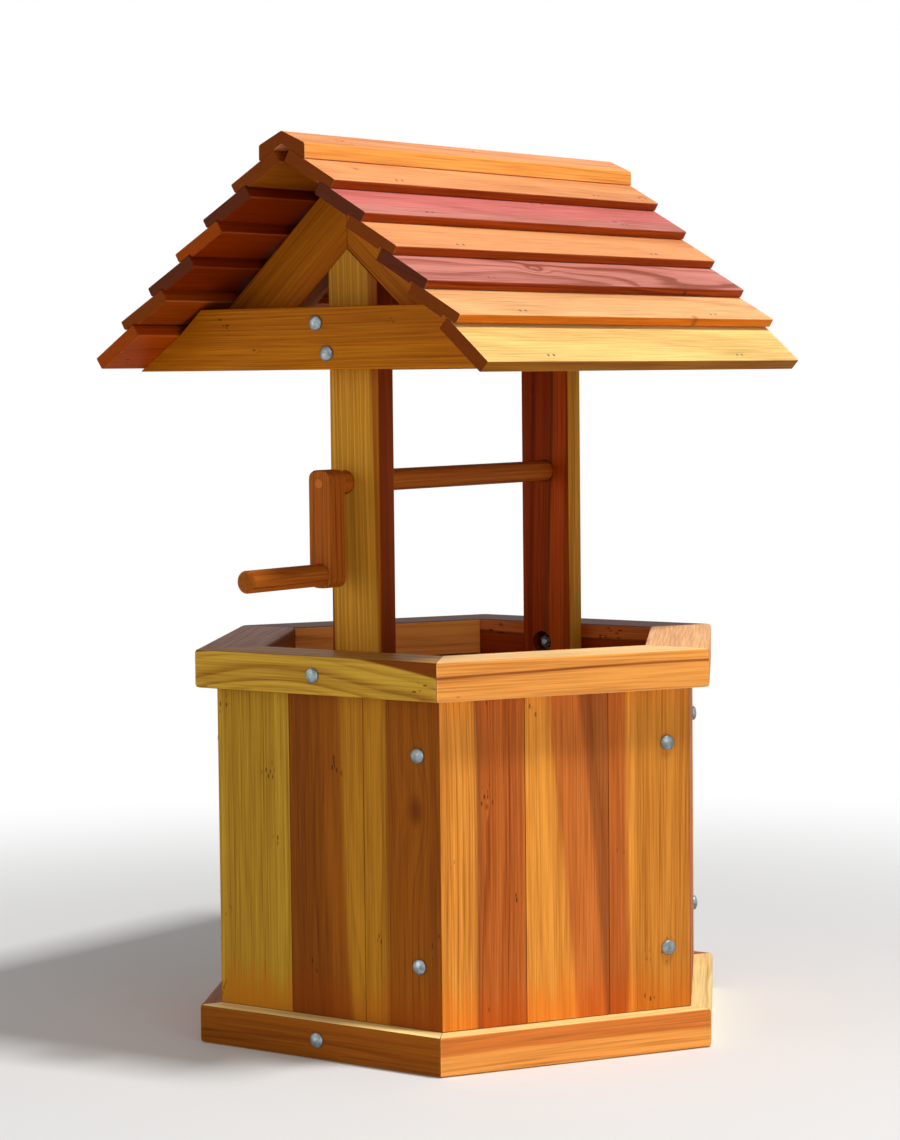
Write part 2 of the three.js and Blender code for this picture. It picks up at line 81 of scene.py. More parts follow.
# %% Camera
AZIMUTH = radians(35.2)
ELEVATION = radians(3.65)
LEAN = radians(-0.6)
DISTANCE = 4.642
AIM = Vector((-0.0233, 0.042, 0.6761))
FOCAL_LENGTH = 96.9


def direction(azimuth, elevation):
    """Azimuth 0 is the front, and it grows towards the right."""
    return Vector((sin(azimuth) * cos(elevation), -cos(azimuth) * cos(elevation), sin(elevation)))


backwards = direction(AZIMUTH, ELEVATION)
level_right = Vector((cos(AZIMUTH), sin(AZIMUTH), 0))
level_up = backwards.cross(level_right)
right = level_right * cos(LEAN) + level_up * sin(LEAN)
up = backwards.cross(right)

camera_data = bpy.data.cameras.new("camera")
camera_data.lens = FOCAL_LENGTH
camera_data.clip_end = 100
camera = bpy.data.objects.new("camera", camera_data)
turn = Matrix((right, up, backwards)).transposed()
camera.matrix_world = Matrix.Translation(AIM + backwards * DISTANCE) @ turn.to_4x4()
bpy.context.scene.collection.objects.link(camera)
bpy.context.scene.camera = camera
print("the camera stands at", [round(place, 2) for place in camera.matrix_world.translation])

# %% [markdown]
# ## Small helpers for shader nodes
#
# A material is a graph of nodes, and building one by hand takes many lines for every link.
# A few short functions keep the graphs readable: `add` makes a node and plugs in what it
# needs, `reckon` is a Math node, and `times` and `minus` are its commonest forms. `xyz` splits
# a vector and `stretched` scales one, `blend` and `tinted` mix colours, `step_between` goes
# smoothly from one value to another, and `hand_out` links a group's outputs.

# %% Node helpers
def add(tree, kind, inputs=None, **settings):
    node = tree.nodes.new(kind)
    for name, value in settings.items():
        setattr(node, name, value)
    for socket, value in (inputs or {}).items():
        if isinstance(value, bpy.types.NodeSocket):
            tree.links.new(value, node.inputs[socket])
        else:
            node.inputs[socket].default_value = value
    return node


def reckon(tree, operation, *values):
    return add(tree, "ShaderNodeMath", dict(enumerate(values)), operation=operation).outputs[0]


def times(tree, value, factor):
    return reckon(tree, "MULTIPLY", value, factor)


def minus(tree, value, less):
    return reckon(tree, "SUBTRACT", value, less)


def xyz(tree, vector):
    return add(tree, "ShaderNodeSeparateXYZ", {0: vector}).outputs


def stretched(tree, vector, stretch):
    return add(tree, "ShaderNodeVectorMath", {0: vector, 1: stretch}, operation="MULTIPLY").outputs[0]


def blend(tree, share, first, second):
    mix = add(tree, "ShaderNodeMix", {0: share, 6: first, 7: second}, data_type="RGBA")
    return mix.outputs[2]


def tinted(tree, colour, tint):
    inputs = {0: 1.0, 6: colour, 7: tint}
    mix = add(tree, "ShaderNodeMix", inputs, data_type="RGBA", blend_type="MULTIPLY")
    return mix.outputs[2]


def step_between(tree, value, start, end, low=0.0, high=1.0):
    ramp = {0: value, 1: start, 2: end, 3: low, 4: high}
    return add(tree, "ShaderNodeMapRange", ramp, interpolation_type="SMOOTHSTEP").outputs[0]


def new_group(name, inputs, outputs):
    tree = bpy.data.node_groups.new(name, "ShaderNodeTree")
    for way, sockets in (("INPUT", inputs), ("OUTPUT", outputs)):
        for label, kind in sockets.items():
            tree.interface.new_socket(label, in_out=way, socket_type="NodeSocket" + kind)
    return tree, tree.nodes.new("NodeGroupInput").outputs, tree.nodes.new("NodeGroupOutput").inputs


def hand_out(tree, result, values):
    for label, value in values.items():
        tree.links.new(value, result[label])


print("shader helpers ready")

# %% [markdown]
# ## Growth rings
#
# A board is a slice of a tree, so its figure isn't a picture laid on each face: it is one solid
# pattern that the faces cut through. Each ring is a sleeve round the middle of the trunk, the
# pith, pale where the tree grew fast in spring and dark where it slowed down in summer.
# Measuring every point's distance from the pith gives straight stripes on a board sawn towards
# the pith, wide flames on one sawn beside it, and arcs on the ends, all from the same nodes.
# An image could show one face well, but it couldn't turn the corner.
#
# No two boards may look alike. So each board's seed takes it to a place of its own in one
# endless noise, and the noise is stretched along the grain.

# %% Noise in the wood
BOARDS_APART = (7.1, 3.7, 11.9)


def spot_in_wood(tree, place, seed):
    away = add(tree, "ShaderNodeVectorMath", {0: BOARDS_APART, "Scale": seed}, operation="SCALE")
    return add(tree, "ShaderNodeVectorMath", {0: place, 1: away.outputs[0]}).outputs[0]


def noise(tree, spot, per_metre, detail, output=0):
    """Per metre: how many blots there are across, through and along the board."""
    inputs = {"Vector": stretched(tree, spot, per_metre), "Scale": 1.0, "Detail": detail}
    return add(tree, "ShaderNodeTexNoise", inputs).outputs[output]


def noise_along(tree, value, detail):
    inputs = {"W": value, "Scale": 1.0, "Detail": detail}
    return add(tree, "ShaderNodeTexNoise", inputs, noise_dimensions="1D").outputs[0]


print("noise can follow the grain")

# %% [markdown]
# ### From the pith to a point
#
# Two things bend the rings. The saw seldom follows the fibres, so they lean, bow and wander a
# little along the board. And they swell round a knot, the root of a branch: a bell-shaped push
# outwards, drawn out along the grain, does that. A board without a knot gets one that is too
# small to see, so that all boards can share the same nodes.

# %% Distance from the pith
WANDERS_PER_METRE = (7, 7, 1.7)
WANDER_ACROSS = 24 * MM
WANDER_THROUGH = 34 * MM
LEAST_KNOT = 0.1 * MM
SWELL_SQUEEZE = 0.42
SWELL_FALL = -0.2


def straightened(tree, place, lean, wander):
    """The place across the board, without its lean, its bow and its wandering."""
    bow = times(tree, times(tree, place[2], place[2]), lean[1])
    leaning = reckon(tree, "MULTIPLY_ADD", place[2], lean[0], bow)
    centred = minus(tree, wander[0], 0.5)
    drift = reckon(tree, "MULTIPLY_ADD", centred, WANDER_ACROSS, place[0])
    return minus(tree, drift, leaning)


def from_pith(tree, straight, place, log, wander):
    across = minus(tree, straight, log[0])
    below = minus(tree, place[1], log[1])
    through = reckon(tree, "MULTIPLY_ADD", wander[1], WANDER_THROUGH, below)
    squares = [times(tree, offset, offset) for offset in (across, through)]
    return reckon(tree, "SQRT", reckon(tree, "ADD", *squares))


def from_knot(tree, place, knot, squeeze):
    """In radii of the knot. The squeeze draws the knot out along the grain."""
    aside = minus(tree, place[0], knot[0])
    beyond = times(tree, minus(tree, place[2], knot[1]), squeeze)
    squared = times(tree, aside, aside)
    distance = reckon(tree, "SQRT", reckon(tree, "MULTIPLY_ADD", beyond, beyond, squared))
    return reckon(tree, "DIVIDE", distance, reckon(tree, "MAXIMUM", knot[2], LEAST_KNOT))


def knot_swell(tree, place, knot):
    around = from_knot(tree, place, knot, SWELL_SQUEEZE)
    squared = times(tree, around, around)
    bell = reckon(tree, "EXPONENT", times(tree, squared, SWELL_FALL))
    return times(tree, bell, reckon(tree, "MAXIMUM", knot[2], LEAST_KNOT))


print("rings can lean, bow and go round a knot")

# %% [markdown]
# ### The years
#
# The distance from the pith, divided by the width of a ring, counts the years. Within a year
# the wood darkens slowly and then stops at once, and some years are much darker than others.
# A second and broader noise that follows the rings gives the soft tone between sapwood and
# heartwood, and a very fine one gives the fibres. All of it goes out of the group as plain
# values, so that a finish can decide what colour they have.

# %% Growth ring group
LATE_WOOD = (0.4, 0.86)
YEAR_END = (0.88, 1.0)
PALEST_YEAR = 0.25
KNOT_PUSH = 1.8
TRUNK_TAPER = 0.01
UNEVEN_PER_METRE = (45, 45, 5)
UNEVEN_BY = 3.5 * MM
GROWTH_CHANGES = 60
GROWTH_VARIES = 12 * MM
TREES_APART = 5.3
RING_TONES = 55
TONES_PER_METRE = (9, 9, 1.1)
BLOT_SHARE = 0.8
TONE_RANGE = (0.6, 1.2)
FIBRES_PER_METRE = (420, 420, 7)
MARK_SQUEEZE = 0.6
MARK_REACH = 1.5
RAMP_START = 0.25
RAMP_SPAN = 0.5


def late_wood(tree, years):
    within = reckon(tree, "FRACT", years)
    slow = step_between(tree, within, *LATE_WOOD)
    stop = step_between(tree, within, *YEAR_END, 1.0, 0.0)
    whole = {"W": reckon(tree, "FLOOR", years)}
    year = add(tree, "ShaderNodeTexWhiteNoise", whole, noise_dimensions="1D").outputs[0]
    strength = reckon(tree, "MULTIPLY_ADD", year, 1 - PALEST_YEAR, PALEST_YEAR)
    return times(tree, times(tree, slow, stop), strength)


def make_ring_group():
    vectors = ("Place", "Size", "Log", "Lean", "Knot")
    inputs = dict.fromkeys(vectors, "Vector") | {"Ring Width": "Float"}
    masks = ("Late Wood", "Tone", "Fibre", "Across", "Knot Mark")
    outputs = dict.fromkeys(masks, "Float") | {"Spot": "Vector"}
    tree, given, result = new_group("growth_rings", inputs, outputs)
    place, size, log, lean, knot = (xyz(tree, given[name]) for name in vectors)
    spot = spot_in_wood(tree, given["Place"], log[2])
    wander = xyz(tree, noise(tree, spot, WANDERS_PER_METRE, 1.5, output=1))
    straight = straightened(tree, place, lean, wander)

    radius = from_pith(tree, straight, place, log, wander)
    radius = reckon(tree, "MULTIPLY_ADD", knot_swell(tree, place, knot), KNOT_PUSH, radius)
    radius_there = reckon(tree, "MULTIPLY_ADD", place[2], TRUNK_TAPER, radius)
    blots = noise(tree, spot, UNEVEN_PER_METRE, 2)
    uneven = reckon(tree, "MULTIPLY_ADD", blots, UNEVEN_BY, radius_there)
    growth = noise_along(tree, times(tree, radius, GROWTH_CHANGES), 1)
    grown = reckon(tree, "MULTIPLY_ADD", growth, GROWTH_VARIES, uneven)
    years = reckon(tree, "DIVIDE", grown, given["Ring Width"])

    own = times(tree, log[2], TREES_APART)
    tone_along = noise_along(tree, reckon(tree, "MULTIPLY_ADD", uneven, RING_TONES, own), 2)
    blots = noise(tree, spot, TONES_PER_METRE, 2)
    tone = reckon(tree, "MULTIPLY_ADD", blots, BLOT_SHARE, tone_along)
    across = reckon(tree, "DIVIDE", straight, times(tree, size[0], 2 / RAMP_SPAN))
    around = from_knot(tree, place, knot, MARK_SQUEEZE)
    mark = step_between(tree, around, 0.0, MARK_REACH, 1.0, 0.0)
    tone = step_between(tree, tone, *TONE_RANGE)
    across = reckon(tree, "ADD", across, RAMP_START + RAMP_SPAN / 2)
    fibre = noise(tree, spot, FIBRES_PER_METRE, 3)
    drawn = {"Late Wood": late_wood(tree, years), "Tone": tone, "Fibre": fibre}
    hand_out(tree, result, drawn | {"Across": across, "Knot Mark": mark, "Spot": spot})
    return tree


ring_group = make_ring_group()
print("growth rings:", len(ring_group.nodes), "nodes")

# %% [markdown]
# ## Stained timber
#
# The well is built from clear softwood and brushed with a thin stain, which doesn't hide the
# wood. Six things show through it on the real boards:
#
# - soft streaks and very fine fibres, with the growth lines only a little darker;
# - sawn edges and ends have tones of their own, most of them darker and redder than the planed
#   faces: partly because they drink more stain, and partly as painted shade on the lower edges
#   and undersides of the roof boards and on some rim tops;
# - small dark ticks lie along the grain, in loose groups;
# - a knot is darker than the wood round it;
# - the arrises, where two faces meet, are rubbed a little paler;
# - the lower ends of the wall boards are darker and redder.
#
# How near a point is to an arris can be worked out from the board's size alone: of its three
# distances to the board's sides, the middle one is the distance to the nearest arris.

# %% Ticks, arrises and depth of stain
TICKS_PER_METRE = (250, 60, 90)
TICK_GROUPS_PER_METRE = (22, 8, 13)
TICK_REACH = (0.22, 0.46)
GROUP_REACH = (0.2, 0.32)
TICKS_IN_GROUP = 0.45
MIDDLE_TONE = 0.45
FIBRE_DEPTH = 1.4
EVEN_DEPTH = 0.25
END_EVENNESS = 0.6


def cells(tree, spot, per_metre):
    inputs = {"Vector": stretched(tree, spot, per_metre), "Scale": 1.0}
    found = add(tree, "ShaderNodeTexVoronoi", inputs).outputs
    chance = add(tree, "ShaderNodeSeparateColor", {0: found["Color"]}).outputs[0]
    return found["Distance"], chance


def ticks(tree, spot, share):
    from_tick, tick_chance = cells(tree, spot, TICKS_PER_METRE)
    from_group, group_chance = cells(tree, spot, TICK_GROUPS_PER_METRE)
    inside = step_between(tree, from_group, *GROUP_REACH, 1.0, 0.0)
    grouped = times(tree, reckon(tree, "LESS_THAN", group_chance, share), inside)
    kept = reckon(tree, "LESS_THAN", tick_chance, TICKS_IN_GROUP)
    drawn = step_between(tree, from_tick, *TICK_REACH, 1.0, 0.0)
    return times(tree, drawn, times(tree, grouped, kept))


def to_arris(tree, place, size):
    gaps = [minus(tree, size[i], reckon(tree, "ABSOLUTE", place[i])) for i in range(3)]
    nearer = reckon(tree, "MINIMUM", gaps[0], gaps[1])
    further = reckon(tree, "MAXIMUM", gaps[0], gaps[1])
    return reckon(tree, "MAXIMUM", nearer, reckon(tree, "MINIMUM", further, gaps[2]))


def stain_depth(tree, given, is_end):
    """From 0, where the wood stayed palest, to 1. The ends are more even than the faces."""
    off_middle = minus(tree, given["Tone"], MIDDLE_TONE)
    streaks = times(tree, off_middle, given["Streaks"])
    centred = minus(tree, given["Fibre"], 0.5)
    fibres = reckon(tree, "MULTIPLY_ADD", centred, FIBRE_DEPTH, EVEN_DEPTH)
    soft = reckon(tree, "ADD", streaks, fibres)
    depth = reckon(tree, "MULTIPLY_ADD", given["Late Wood"], given["Lines"], soft)
    planed = minus(tree, 1, times(tree, is_end, END_EVENNESS))
    return add(tree, "ShaderNodeClamp", {0: times(tree, depth, planed)}).outputs[0]


print("ticks, arrises and stain depth can be found")

# %% [markdown]
# ### One coat over another
#
# The group lays its colours on in the order in which they came about: the board's own tone,
# the depth of the stain, the darker and redder foot, the knot, the ticks, and the wear on top.
# Each coat is the board's tone times a tint, so it suits yellow boards and red ones alike.

# %% Timber group
PALE_TINT = (1.16, 1.16, 1.2, 1)
FOOT_TINT = (1.08, 0.66, 0.35, 1)
KNOT_TINT = (0.42, 0.28, 0.25, 1)
TICK_TINT = (0.16, 0.08, 0.06, 1)
RUBBED_TINT = (1.35, 1.5, 1.9, 1)
KNOT_STRENGTH = 0.75
TICK_STRENGTH = 0.8
FOOT_HEIGHT = 55 * MM
FOOT_UNEVEN = -40 * MM
RUBBED_WIDTH = 2.8 * MM
RUBBED_RAGGED = 4 * MM
JUST_OVER_ONE = 1.001
SMOOTHEST = 0.42
FIBRE_ROUGHNESS = 0.2
END_ROUGHNESS = 0.15
LATE_RELIEF = 0.5
COAT = {"Colour": "Color", "Roughness": "Float", "Height": "Float"}


def make_timber_group():
    colours = ("Wood", "Edge", "End", "Line Tint")
    vectors = ("Place", "Size", "Spot")
    values = ("Late Wood", "Tone", "Fibre", "Knot Mark", "Side")
    amounts = ("Lines", "Streaks", "Ticks", "Wear", "Foot")
    inputs = dict.fromkeys(colours, "Color") | dict.fromkeys(vectors, "Vector")
    inputs |= dict.fromkeys(values + amounts, "Float")
    tree, given, result = new_group("stained_timber", inputs, COAT)
    place, size = xyz(tree, given["Place"]), xyz(tree, given["Size"])
    late, tone, fibre, side = (given[name] for name in ("Late Wood", "Tone", "Fibre", "Side"))

    is_end = add(tree, "ShaderNodeClamp", {0: minus(tree, side, 1)}).outputs[0]
    is_edge = times(tree, side, reckon(tree, "LESS_THAN", side, JUST_OVER_ONE))
    bare = blend(tree, is_edge, given["Wood"], given["Edge"])
    bare = blend(tree, is_end, bare, given["End"])
    pale = tinted(tree, bare, PALE_TINT)
    lined = tinted(tree, bare, given["Line Tint"])
    colour = blend(tree, stain_depth(tree, given, is_end), pale, lined)

    # Darker and redder towards the foot of the board.
    height = reckon(tree, "ADD", place[2], size[2])
    height = reckon(tree, "MULTIPLY_ADD", tone, FOOT_UNEVEN, height)
    foot_mask = step_between(tree, height, 0.0, FOOT_HEIGHT, 1.0, 0.0)
    tick = ticks(tree, given["Spot"], given["Ticks"])
    for mask, strength, tint in (
        (foot_mask, given["Foot"], FOOT_TINT),
        (given["Knot Mark"], KNOT_STRENGTH, KNOT_TINT),
        (tick, TICK_STRENGTH, TICK_TINT),
    ):
        colour = blend(tree, times(tree, mask, strength), colour, tinted(tree, bare, tint))

    centred = minus(tree, fibre, 0.5)
    ragged = reckon(tree, "MULTIPLY_ADD", centred, RUBBED_RAGGED, to_arris(tree, place, size))
    rubbed = step_between(tree, ragged, 0.0, RUBBED_WIDTH, 1.0, 0.0)
    on_face = times(tree, minus(tree, 1, is_end), given["Wear"])
    rubbed = times(tree, rubbed, on_face)
    colour = blend(tree, rubbed, colour, tinted(tree, given["Wood"], RUBBED_TINT))

    rough = reckon(tree, "MULTIPLY_ADD", fibre, FIBRE_ROUGHNESS, SMOOTHEST)
    rough = reckon(tree, "MULTIPLY_ADD", is_end, END_ROUGHNESS, rough)
    relief = reckon(tree, "MULTIPLY_ADD", late, LATE_RELIEF, fibre)
    relief = minus(tree, relief, tick)
    hand_out(tree, result, {"Colour": colour, "Roughness": rough, "Height": relief})
    return tree


timber_group = make_timber_group()
print("stained timber:", len(timber_group.nodes), "nodes")

# %% [markdown]
# ## The stain tones
#
# No two boards took the stain alike, and many change from yellow sapwood to red heartwood
# within their own width. A list of named tones, each one the colour of some board, lets a
# finish be written in a maker's words, and keeps boards of one tone truly alike.

# %% Stain tones
TONES = {
    "mustard": "B88E28",
    "olive": "C89C34",
    "saffron": "B2781C",
    "gold": "D0942A",
    "post_gold": "A66F18",
    "walnut": "86480A",
    "cinnamon": "92500C",
    "tobacco": "B3640A",
    "toffee": "BE7012",
    "collar_gold": "BA6E08",
    "apricot": "F6A240",
    "salmon": "E08138",
    "brick": "C96C2C",
    "copper": "B0622C",
    "amber": "DA8C34",
    "fawn": "B28238",
    "honey": "FCA950",
    "cream": "FCD490",
    "wheat": "FCE294",
    "straw": "F3CD7C",
    "peach": "DE965F",
    "light_peach": "ECB377",
    "rose": "C97068",
    "mauve": "C27A6C",
    "driftwood": "9C6C4A",
    "bark": "783A04",
    "oxblood": "7E2800",
    "maroon": "6E2800",
    "cedar": "943400",
    "sienna": "984006",
    "russet": "B44A08",
    "crank_red": "B3621C",
    "ember": "A8480A",
    "flame": "E27C14",
    "ochre": "9E6000",
    "chocolate": "5C2A16",
    "rust": "78370A",
}


def linear(hexadecimal):
    parts = [int(hexadecimal[i : i + 2], 16) / 255 for i in (0, 2, 4)]
    return [part / 12.92 if part < 0.04045 else ((part + 0.055) / 1.055) ** 2.4 for part in parts] + [1]


print(len(TONES), "stain tones")

# %% [markdown]
# ### From tones to a material
#
# A finish reads like a description of the board: a tone, where it ends as a share of the
# board's width, the next tone, and so on, and then the tones of its sawn edges and its ends.
# A colour ramp turns that list into the board's stripes, with room on both sides for fibres
# that lean past the edge. The numbers that belong to a single board, such as where it lay in
# the log, come from attributes on its own mesh, so that few finishes dress many boards.

# %% Timber materials
BAND_BLUR = 0.03
LINE_TINT = (0.5, 0.33, 0.22)
STAIN_AMOUNTS = {"lines": 0.3, "streaks": 0.38, "ticks": 0.3, "wear": 0.12, "foot": 0.0}
BOARD_ATTRIBUTES = dict.fromkeys(("Place", "Size", "Log", "Lean", "Knot"), "Vector") | {"Side": "Fac"}
finishes_made = {}


def new_material(name, **constants):
    material = bpy.data.materials.new(name)
    material.use_nodes = True
    shader = material.node_tree.nodes["Principled BSDF"]
    for socket, value in constants.items():
        shader.inputs[socket.replace("_", " ")].default_value = value
    return material, material.node_tree, shader


def lay_on(tree, shader, coat, strength, depth):
    """The group's colour, roughness and height go into the shader."""
    inputs = {"Height": coat.outputs["Height"], "Strength": strength, "Distance": depth}
    bump = add(tree, "ShaderNodeBump", inputs)
    tree.links.new(coat.outputs["Colour"], shader.inputs["Base Color"])
    tree.links.new(coat.outputs["Roughness"], shader.inputs["Roughness"])
    tree.links.new(bump.outputs[0], shader.inputs["Normal"])


def striped(tree, bands, blur, across):
    """Bands are a tone, the share of the width where it ends, the next tone, and so on."""
    ramp = add(tree, "ShaderNodeValToRGB", {0: across})
    stops = ramp.color_ramp.elements
    stops[0].color = linear(TONES[bands[0]])
    stops[-1].color = linear(TONES[bands[-1]])
    for before, border, after in zip(bands[0::2], bands[1::2], bands[2::2]):
        for share, tone in ((border - blur, before), (border + blur, after)):
            stops.new(RAMP_START + share * RAMP_SPAN).color = linear(TONES[tone])
    return ramp.outputs[0]


def timber(*bands, edge="cedar", end="rust", ring_width=6.0, blur=BAND_BLUR, tint=LINE_TINT, **amounts):
    amounts = STAIN_AMOUNTS | amounts
    wanted = (bands, edge, end, ring_width, blur, tint, *amounts.values())
    if wanted in finishes_made:
        return finishes_made[wanted]
    name = f"timber_{len(finishes_made) + 1}_{bands[0]}"
    material, tree, shader = new_material(name, Specular_IOR_Level=0.05)
    finishes_made[wanted] = material
    rings = add(tree, "ShaderNodeGroup", {"Ring Width": ring_width * MM}, node_tree=ring_group)
    inputs = {"Edge": linear(TONES[edge]), "End": linear(TONES[end]), "Line Tint": (*tint, 1)}
    inputs |= {socket.title(): value for socket, value in amounts.items()}
    stain = add(tree, "ShaderNodeGroup", inputs, node_tree=timber_group)
    for socket, output in BOARD_ATTRIBUTES.items():
        reader = add(tree, "ShaderNodeAttribute", attribute_name="board_" + socket.lower())
        for group in (rings, stain):
            if socket in group.inputs:
                tree.links.new(reader.outputs[output], group.inputs[socket])
    for socket in ("Late Wood", "Tone", "Fibre", "Knot Mark", "Spot"):
        tree.links.new(rings.outputs[socket], stain.inputs[socket])
    tree.links.new(striped(tree, bands, blur, rings.outputs["Across"]), stain.inputs["Wood"])
    lay_on(tree, shader, stain, strength=0.35, depth=0.4 * MM)
    return material


def finish(*bands, **options):
    return dict(bands=bands, **options)


def stained(own, **usual):
    """A timber with a board's own finish, and the usual one where that says nothing."""
    options = usual | own
    return timber(*options.pop("bands"), **options)


print("timber can be stained in bands")

# %% [markdown]
# ## From solid to board
#
# The frame's solids have the right shape, with their rabbets, bores and counterbores, but
# their triangles don't share corners, so nothing on them can be rounded. A copy is merged,
# its flat faces are joined up, and the sharp corners that a saw leaves are eased with a very
# small bevel, because a real corner always catches a thin line of light. Weighted normals
# then keep the wide faces flat while the rounded edges shade softly.

# %% Copy and ease
def copied_shape(node):
    shape = bmesh.new()
    shape.from_mesh(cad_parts[node].data)
    bmesh.ops.remove_doubles(shape, verts=shape.verts, dist=0.02 * MM)
    bmesh.ops.dissolve_limit(shape, angle_limit=radians(0.5), verts=shape.verts, edges=shape.edges)
    return shape


def ease(shape, radius, sharper_than=50.0):
    inner = [edge for edge in shape.edges if len(edge.link_faces) == 2]
    sharp = [edge for edge in inner if edge.calc_face_angle() > radians(sharper_than)]
    rounding = dict(segments=2, profile=0.5, offset_type="OFFSET", affect="EDGES")
    bmesh.ops.bevel(shape, geom=sharp, offset=radius, material=-1, clamp_overlap=True, **rounding)


def finished(shape, name, body="well", smooth_below=40.0):
    mesh = bpy.data.meshes.new(name)
    shape.normal_update()
    shape.to_mesh(mesh)
    shape.free()
    for layer in ("custom_normal", "UVMap"):
        if layer in mesh.attributes:
            mesh.attributes.remove(mesh.attributes[layer])
    mesh.shade_smooth()
    mesh.set_sharp_from_angle(angle=radians(smooth_below))
    piece = bpy.data.objects.new(name, mesh)
    bpy.context.scene.collection.objects.link(piece)
    weighted = piece.modifiers.new("flat faces", "WEIGHTED_NORMAL")
    weighted.keep_sharp = True
    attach(piece, body)
    return piece


print("boards can be copied and eased")

# %% [markdown]
# ## How a board lies in its log
#
# The timber shader needs to know six things about each board: where a point lies across,
# through and along it, how big the board is, where the pith was, how the fibres lean, where a
# knot comes through, and which faces are sawn edges or ends. They are written on the mesh as
# attributes. An attribute goes wherever the mesh goes, so the grain also stays put on the
# crank while it turns.

# %% Board attributes
X, Y, Z = Vector((1, 0, 0)), Vector((0, 1, 0)), Vector((0, 0, 1))
STRAIGHT = (0, 0)
NO_KNOT = (0, 0, 0)
END_SIDE = 1.0
EDGE_FACING = 0.6
END_FACING = 0.35
UNDER_FACING = -0.5
OUTER_SHARE = 0.8


def write_attribute(mesh, name, kind, domain, values):
    layer = mesh.attributes.new(name, kind, domain)
    field = "value" if kind == "FLOAT" else "vector"
    layer.data.foreach_set(field, np.asarray(values, np.float32).ravel())


def sawn_sides(mesh, axes, low, high, edges=1.0, ends=1.0, under=0.0):
    """0 on a planed face, up to 1 on a sawn edge, and more on an end. The sides of a
    rabbet or a bore are not near the board's own edge, so they count as planed. Faces
    turned down get under, which paints the edge tone on them as shade."""
    facing = np.array([polygon.normal for polygon in mesh.polygons]) @ axes.T
    centres = np.array([polygon.center for polygon in mesh.polygons]) @ axes[0]
    aside = np.abs(centres - (low[0] + high[0]) / 2)
    outermost = aside > OUTER_SHARE * (high[0] - low[0]) / 2
    sides = np.zeros(len(mesh.polygons))
    sides[(np.abs(facing[:, 0]) > EDGE_FACING) & outermost] = edges
    # Faces turned down take the painted shade of an underside.
    sides[facing[:, 1] < UNDER_FACING] = under
    sides[np.abs(facing[:, 2]) > END_FACING] = END_SIDE + ends
    return sides


def saw(piece, material, along, across, pith, seed, lean=STRAIGHT, knot=NO_KNOT, **sawn):
    """Pith: how far the middle of the tree lay across and through from the board's middle.
    Lean: how the fibres slant and bow. Knot: its place across and along, and its radius."""
    mesh = piece.data
    axes = np.array([across, across.cross(along), along])
    places = np.array([vertex.co for vertex in mesh.vertices]) @ axes.T
    low, high = places.min(0), places.max(0)
    write_attribute(mesh, "board_place", "FLOAT_VECTOR", "POINT", places - (low + high) / 2)
    same_all_over = {"size": (high - low) / 2, "log": (*pith, seed), "lean": (*lean, 0), "knot": knot}
    for name, value in same_all_over.items():
        write_attribute(mesh, "board_" + name, "FLOAT_VECTOR", "POINT", [value] * len(places))
    write_attribute(mesh, "board_side", "FLOAT", "FACE", sawn_sides(mesh, axes, low, high, **sawn))
    mesh.materials.append(material)
    return piece


def board(node, slot, material, along, across, pith, seed, body="well", radius=0.7 * MM, **figure):
    shape = copied_shape(node)
    ease(shape, radius)
    piece = finished(shape, node + "_board", body)
    saw(piece, material, along, across, pith, seed, **figure)
    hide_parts(node)
    return piece


print("a board knows its place in the log")

# %% [markdown]
# ## The base ring and the rim
#
# Six heavy pieces with mitred ends make each ring. The lower one stands on the ground and
# carries the floor, and the upper one covers the ends of the wall boards. All twelve run round
# the well, so each piece's grain follows its own side.

# %% Rings
SIDES = 6
SIDE_TURN = 2 * pi / SIDES
RING_PITH = (0.07, 0.12)
RING_WEAR = 0.4
RIM_SEED, BASE_SEED = 0.5, 0.1
# The tops of rims 4 and 5 are painted dark as the shade of the roof, the greyish top of rim 6 is a
# painted reflection of the sky, and the olive face of rim 1 is partly painted shade.
RIM_FINISH = {
    1: finish("olive", 1.07, "bark", edge="fawn", lines=0.7, ring_width=7),
    2: finish("honey", 0.64, "copper", 0.7, "honey", edge="cream", blur=0.016, lines=0.15, ring_width=12),
    3: finish("peach", 0.5, "honey", edge="light_peach", lines=0.1, streaks=0.2, ring_width=11),
    4: finish("cedar", 0.62, "bark", 0.68, "brick", edge="chocolate", ring_width=9),
    5: finish("honey", edge="chocolate", ring_width=8),
    6: finish("cinnamon", 0.6, "walnut", edge="driftwood", ring_width=8),
}
RIM_LEAN = {1: (-0.05, -0.42), 2: (0.006, -0.02), 3: (0.04, 0.1), 5: (0.02, 0.2)}
BASE_FINISH = {
    1: finish("cinnamon", edge="wheat"),
    2: finish("honey", 0.5, "salmon", edge="wheat"),
    3: finish("wheat", edge="wheat"),
    4: finish("brick", 0.5, "copper", edge="copper"),
    5: finish("cinnamon", edge="copper"),
    6: finish("copper", edge="walnut"),
}
middle = (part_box("rim_1")[0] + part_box("rim_4")[1]) / 2
middle = Vector((0, middle.y, 0))


def outward(side):
    angle = -pi / 2 + (side - 1) * SIDE_TURN
    return Vector((cos(angle), sin(angle), 0))


def ring_piece(node, slot, side, own, seed, lean=STRAIGHT):
    figure = stained(own, wear=RING_WEAR)
    board(node, slot, figure, Z.cross(outward(side)), Z, RING_PITH, seed, lean=lean, ends=0.5)


for side in range(1, SIDES + 1):
    lean = RIM_LEAN.get(side, STRAIGHT)
    ring_piece(f"rim_{side}", "rim_timber", side, RIM_FINISH[side], side + RIM_SEED, lean)
    ring_piece(f"base_ring_{side}", "base_timber", side, BASE_FINISH[side], side + BASE_SEED)
print("two rings of six pieces")

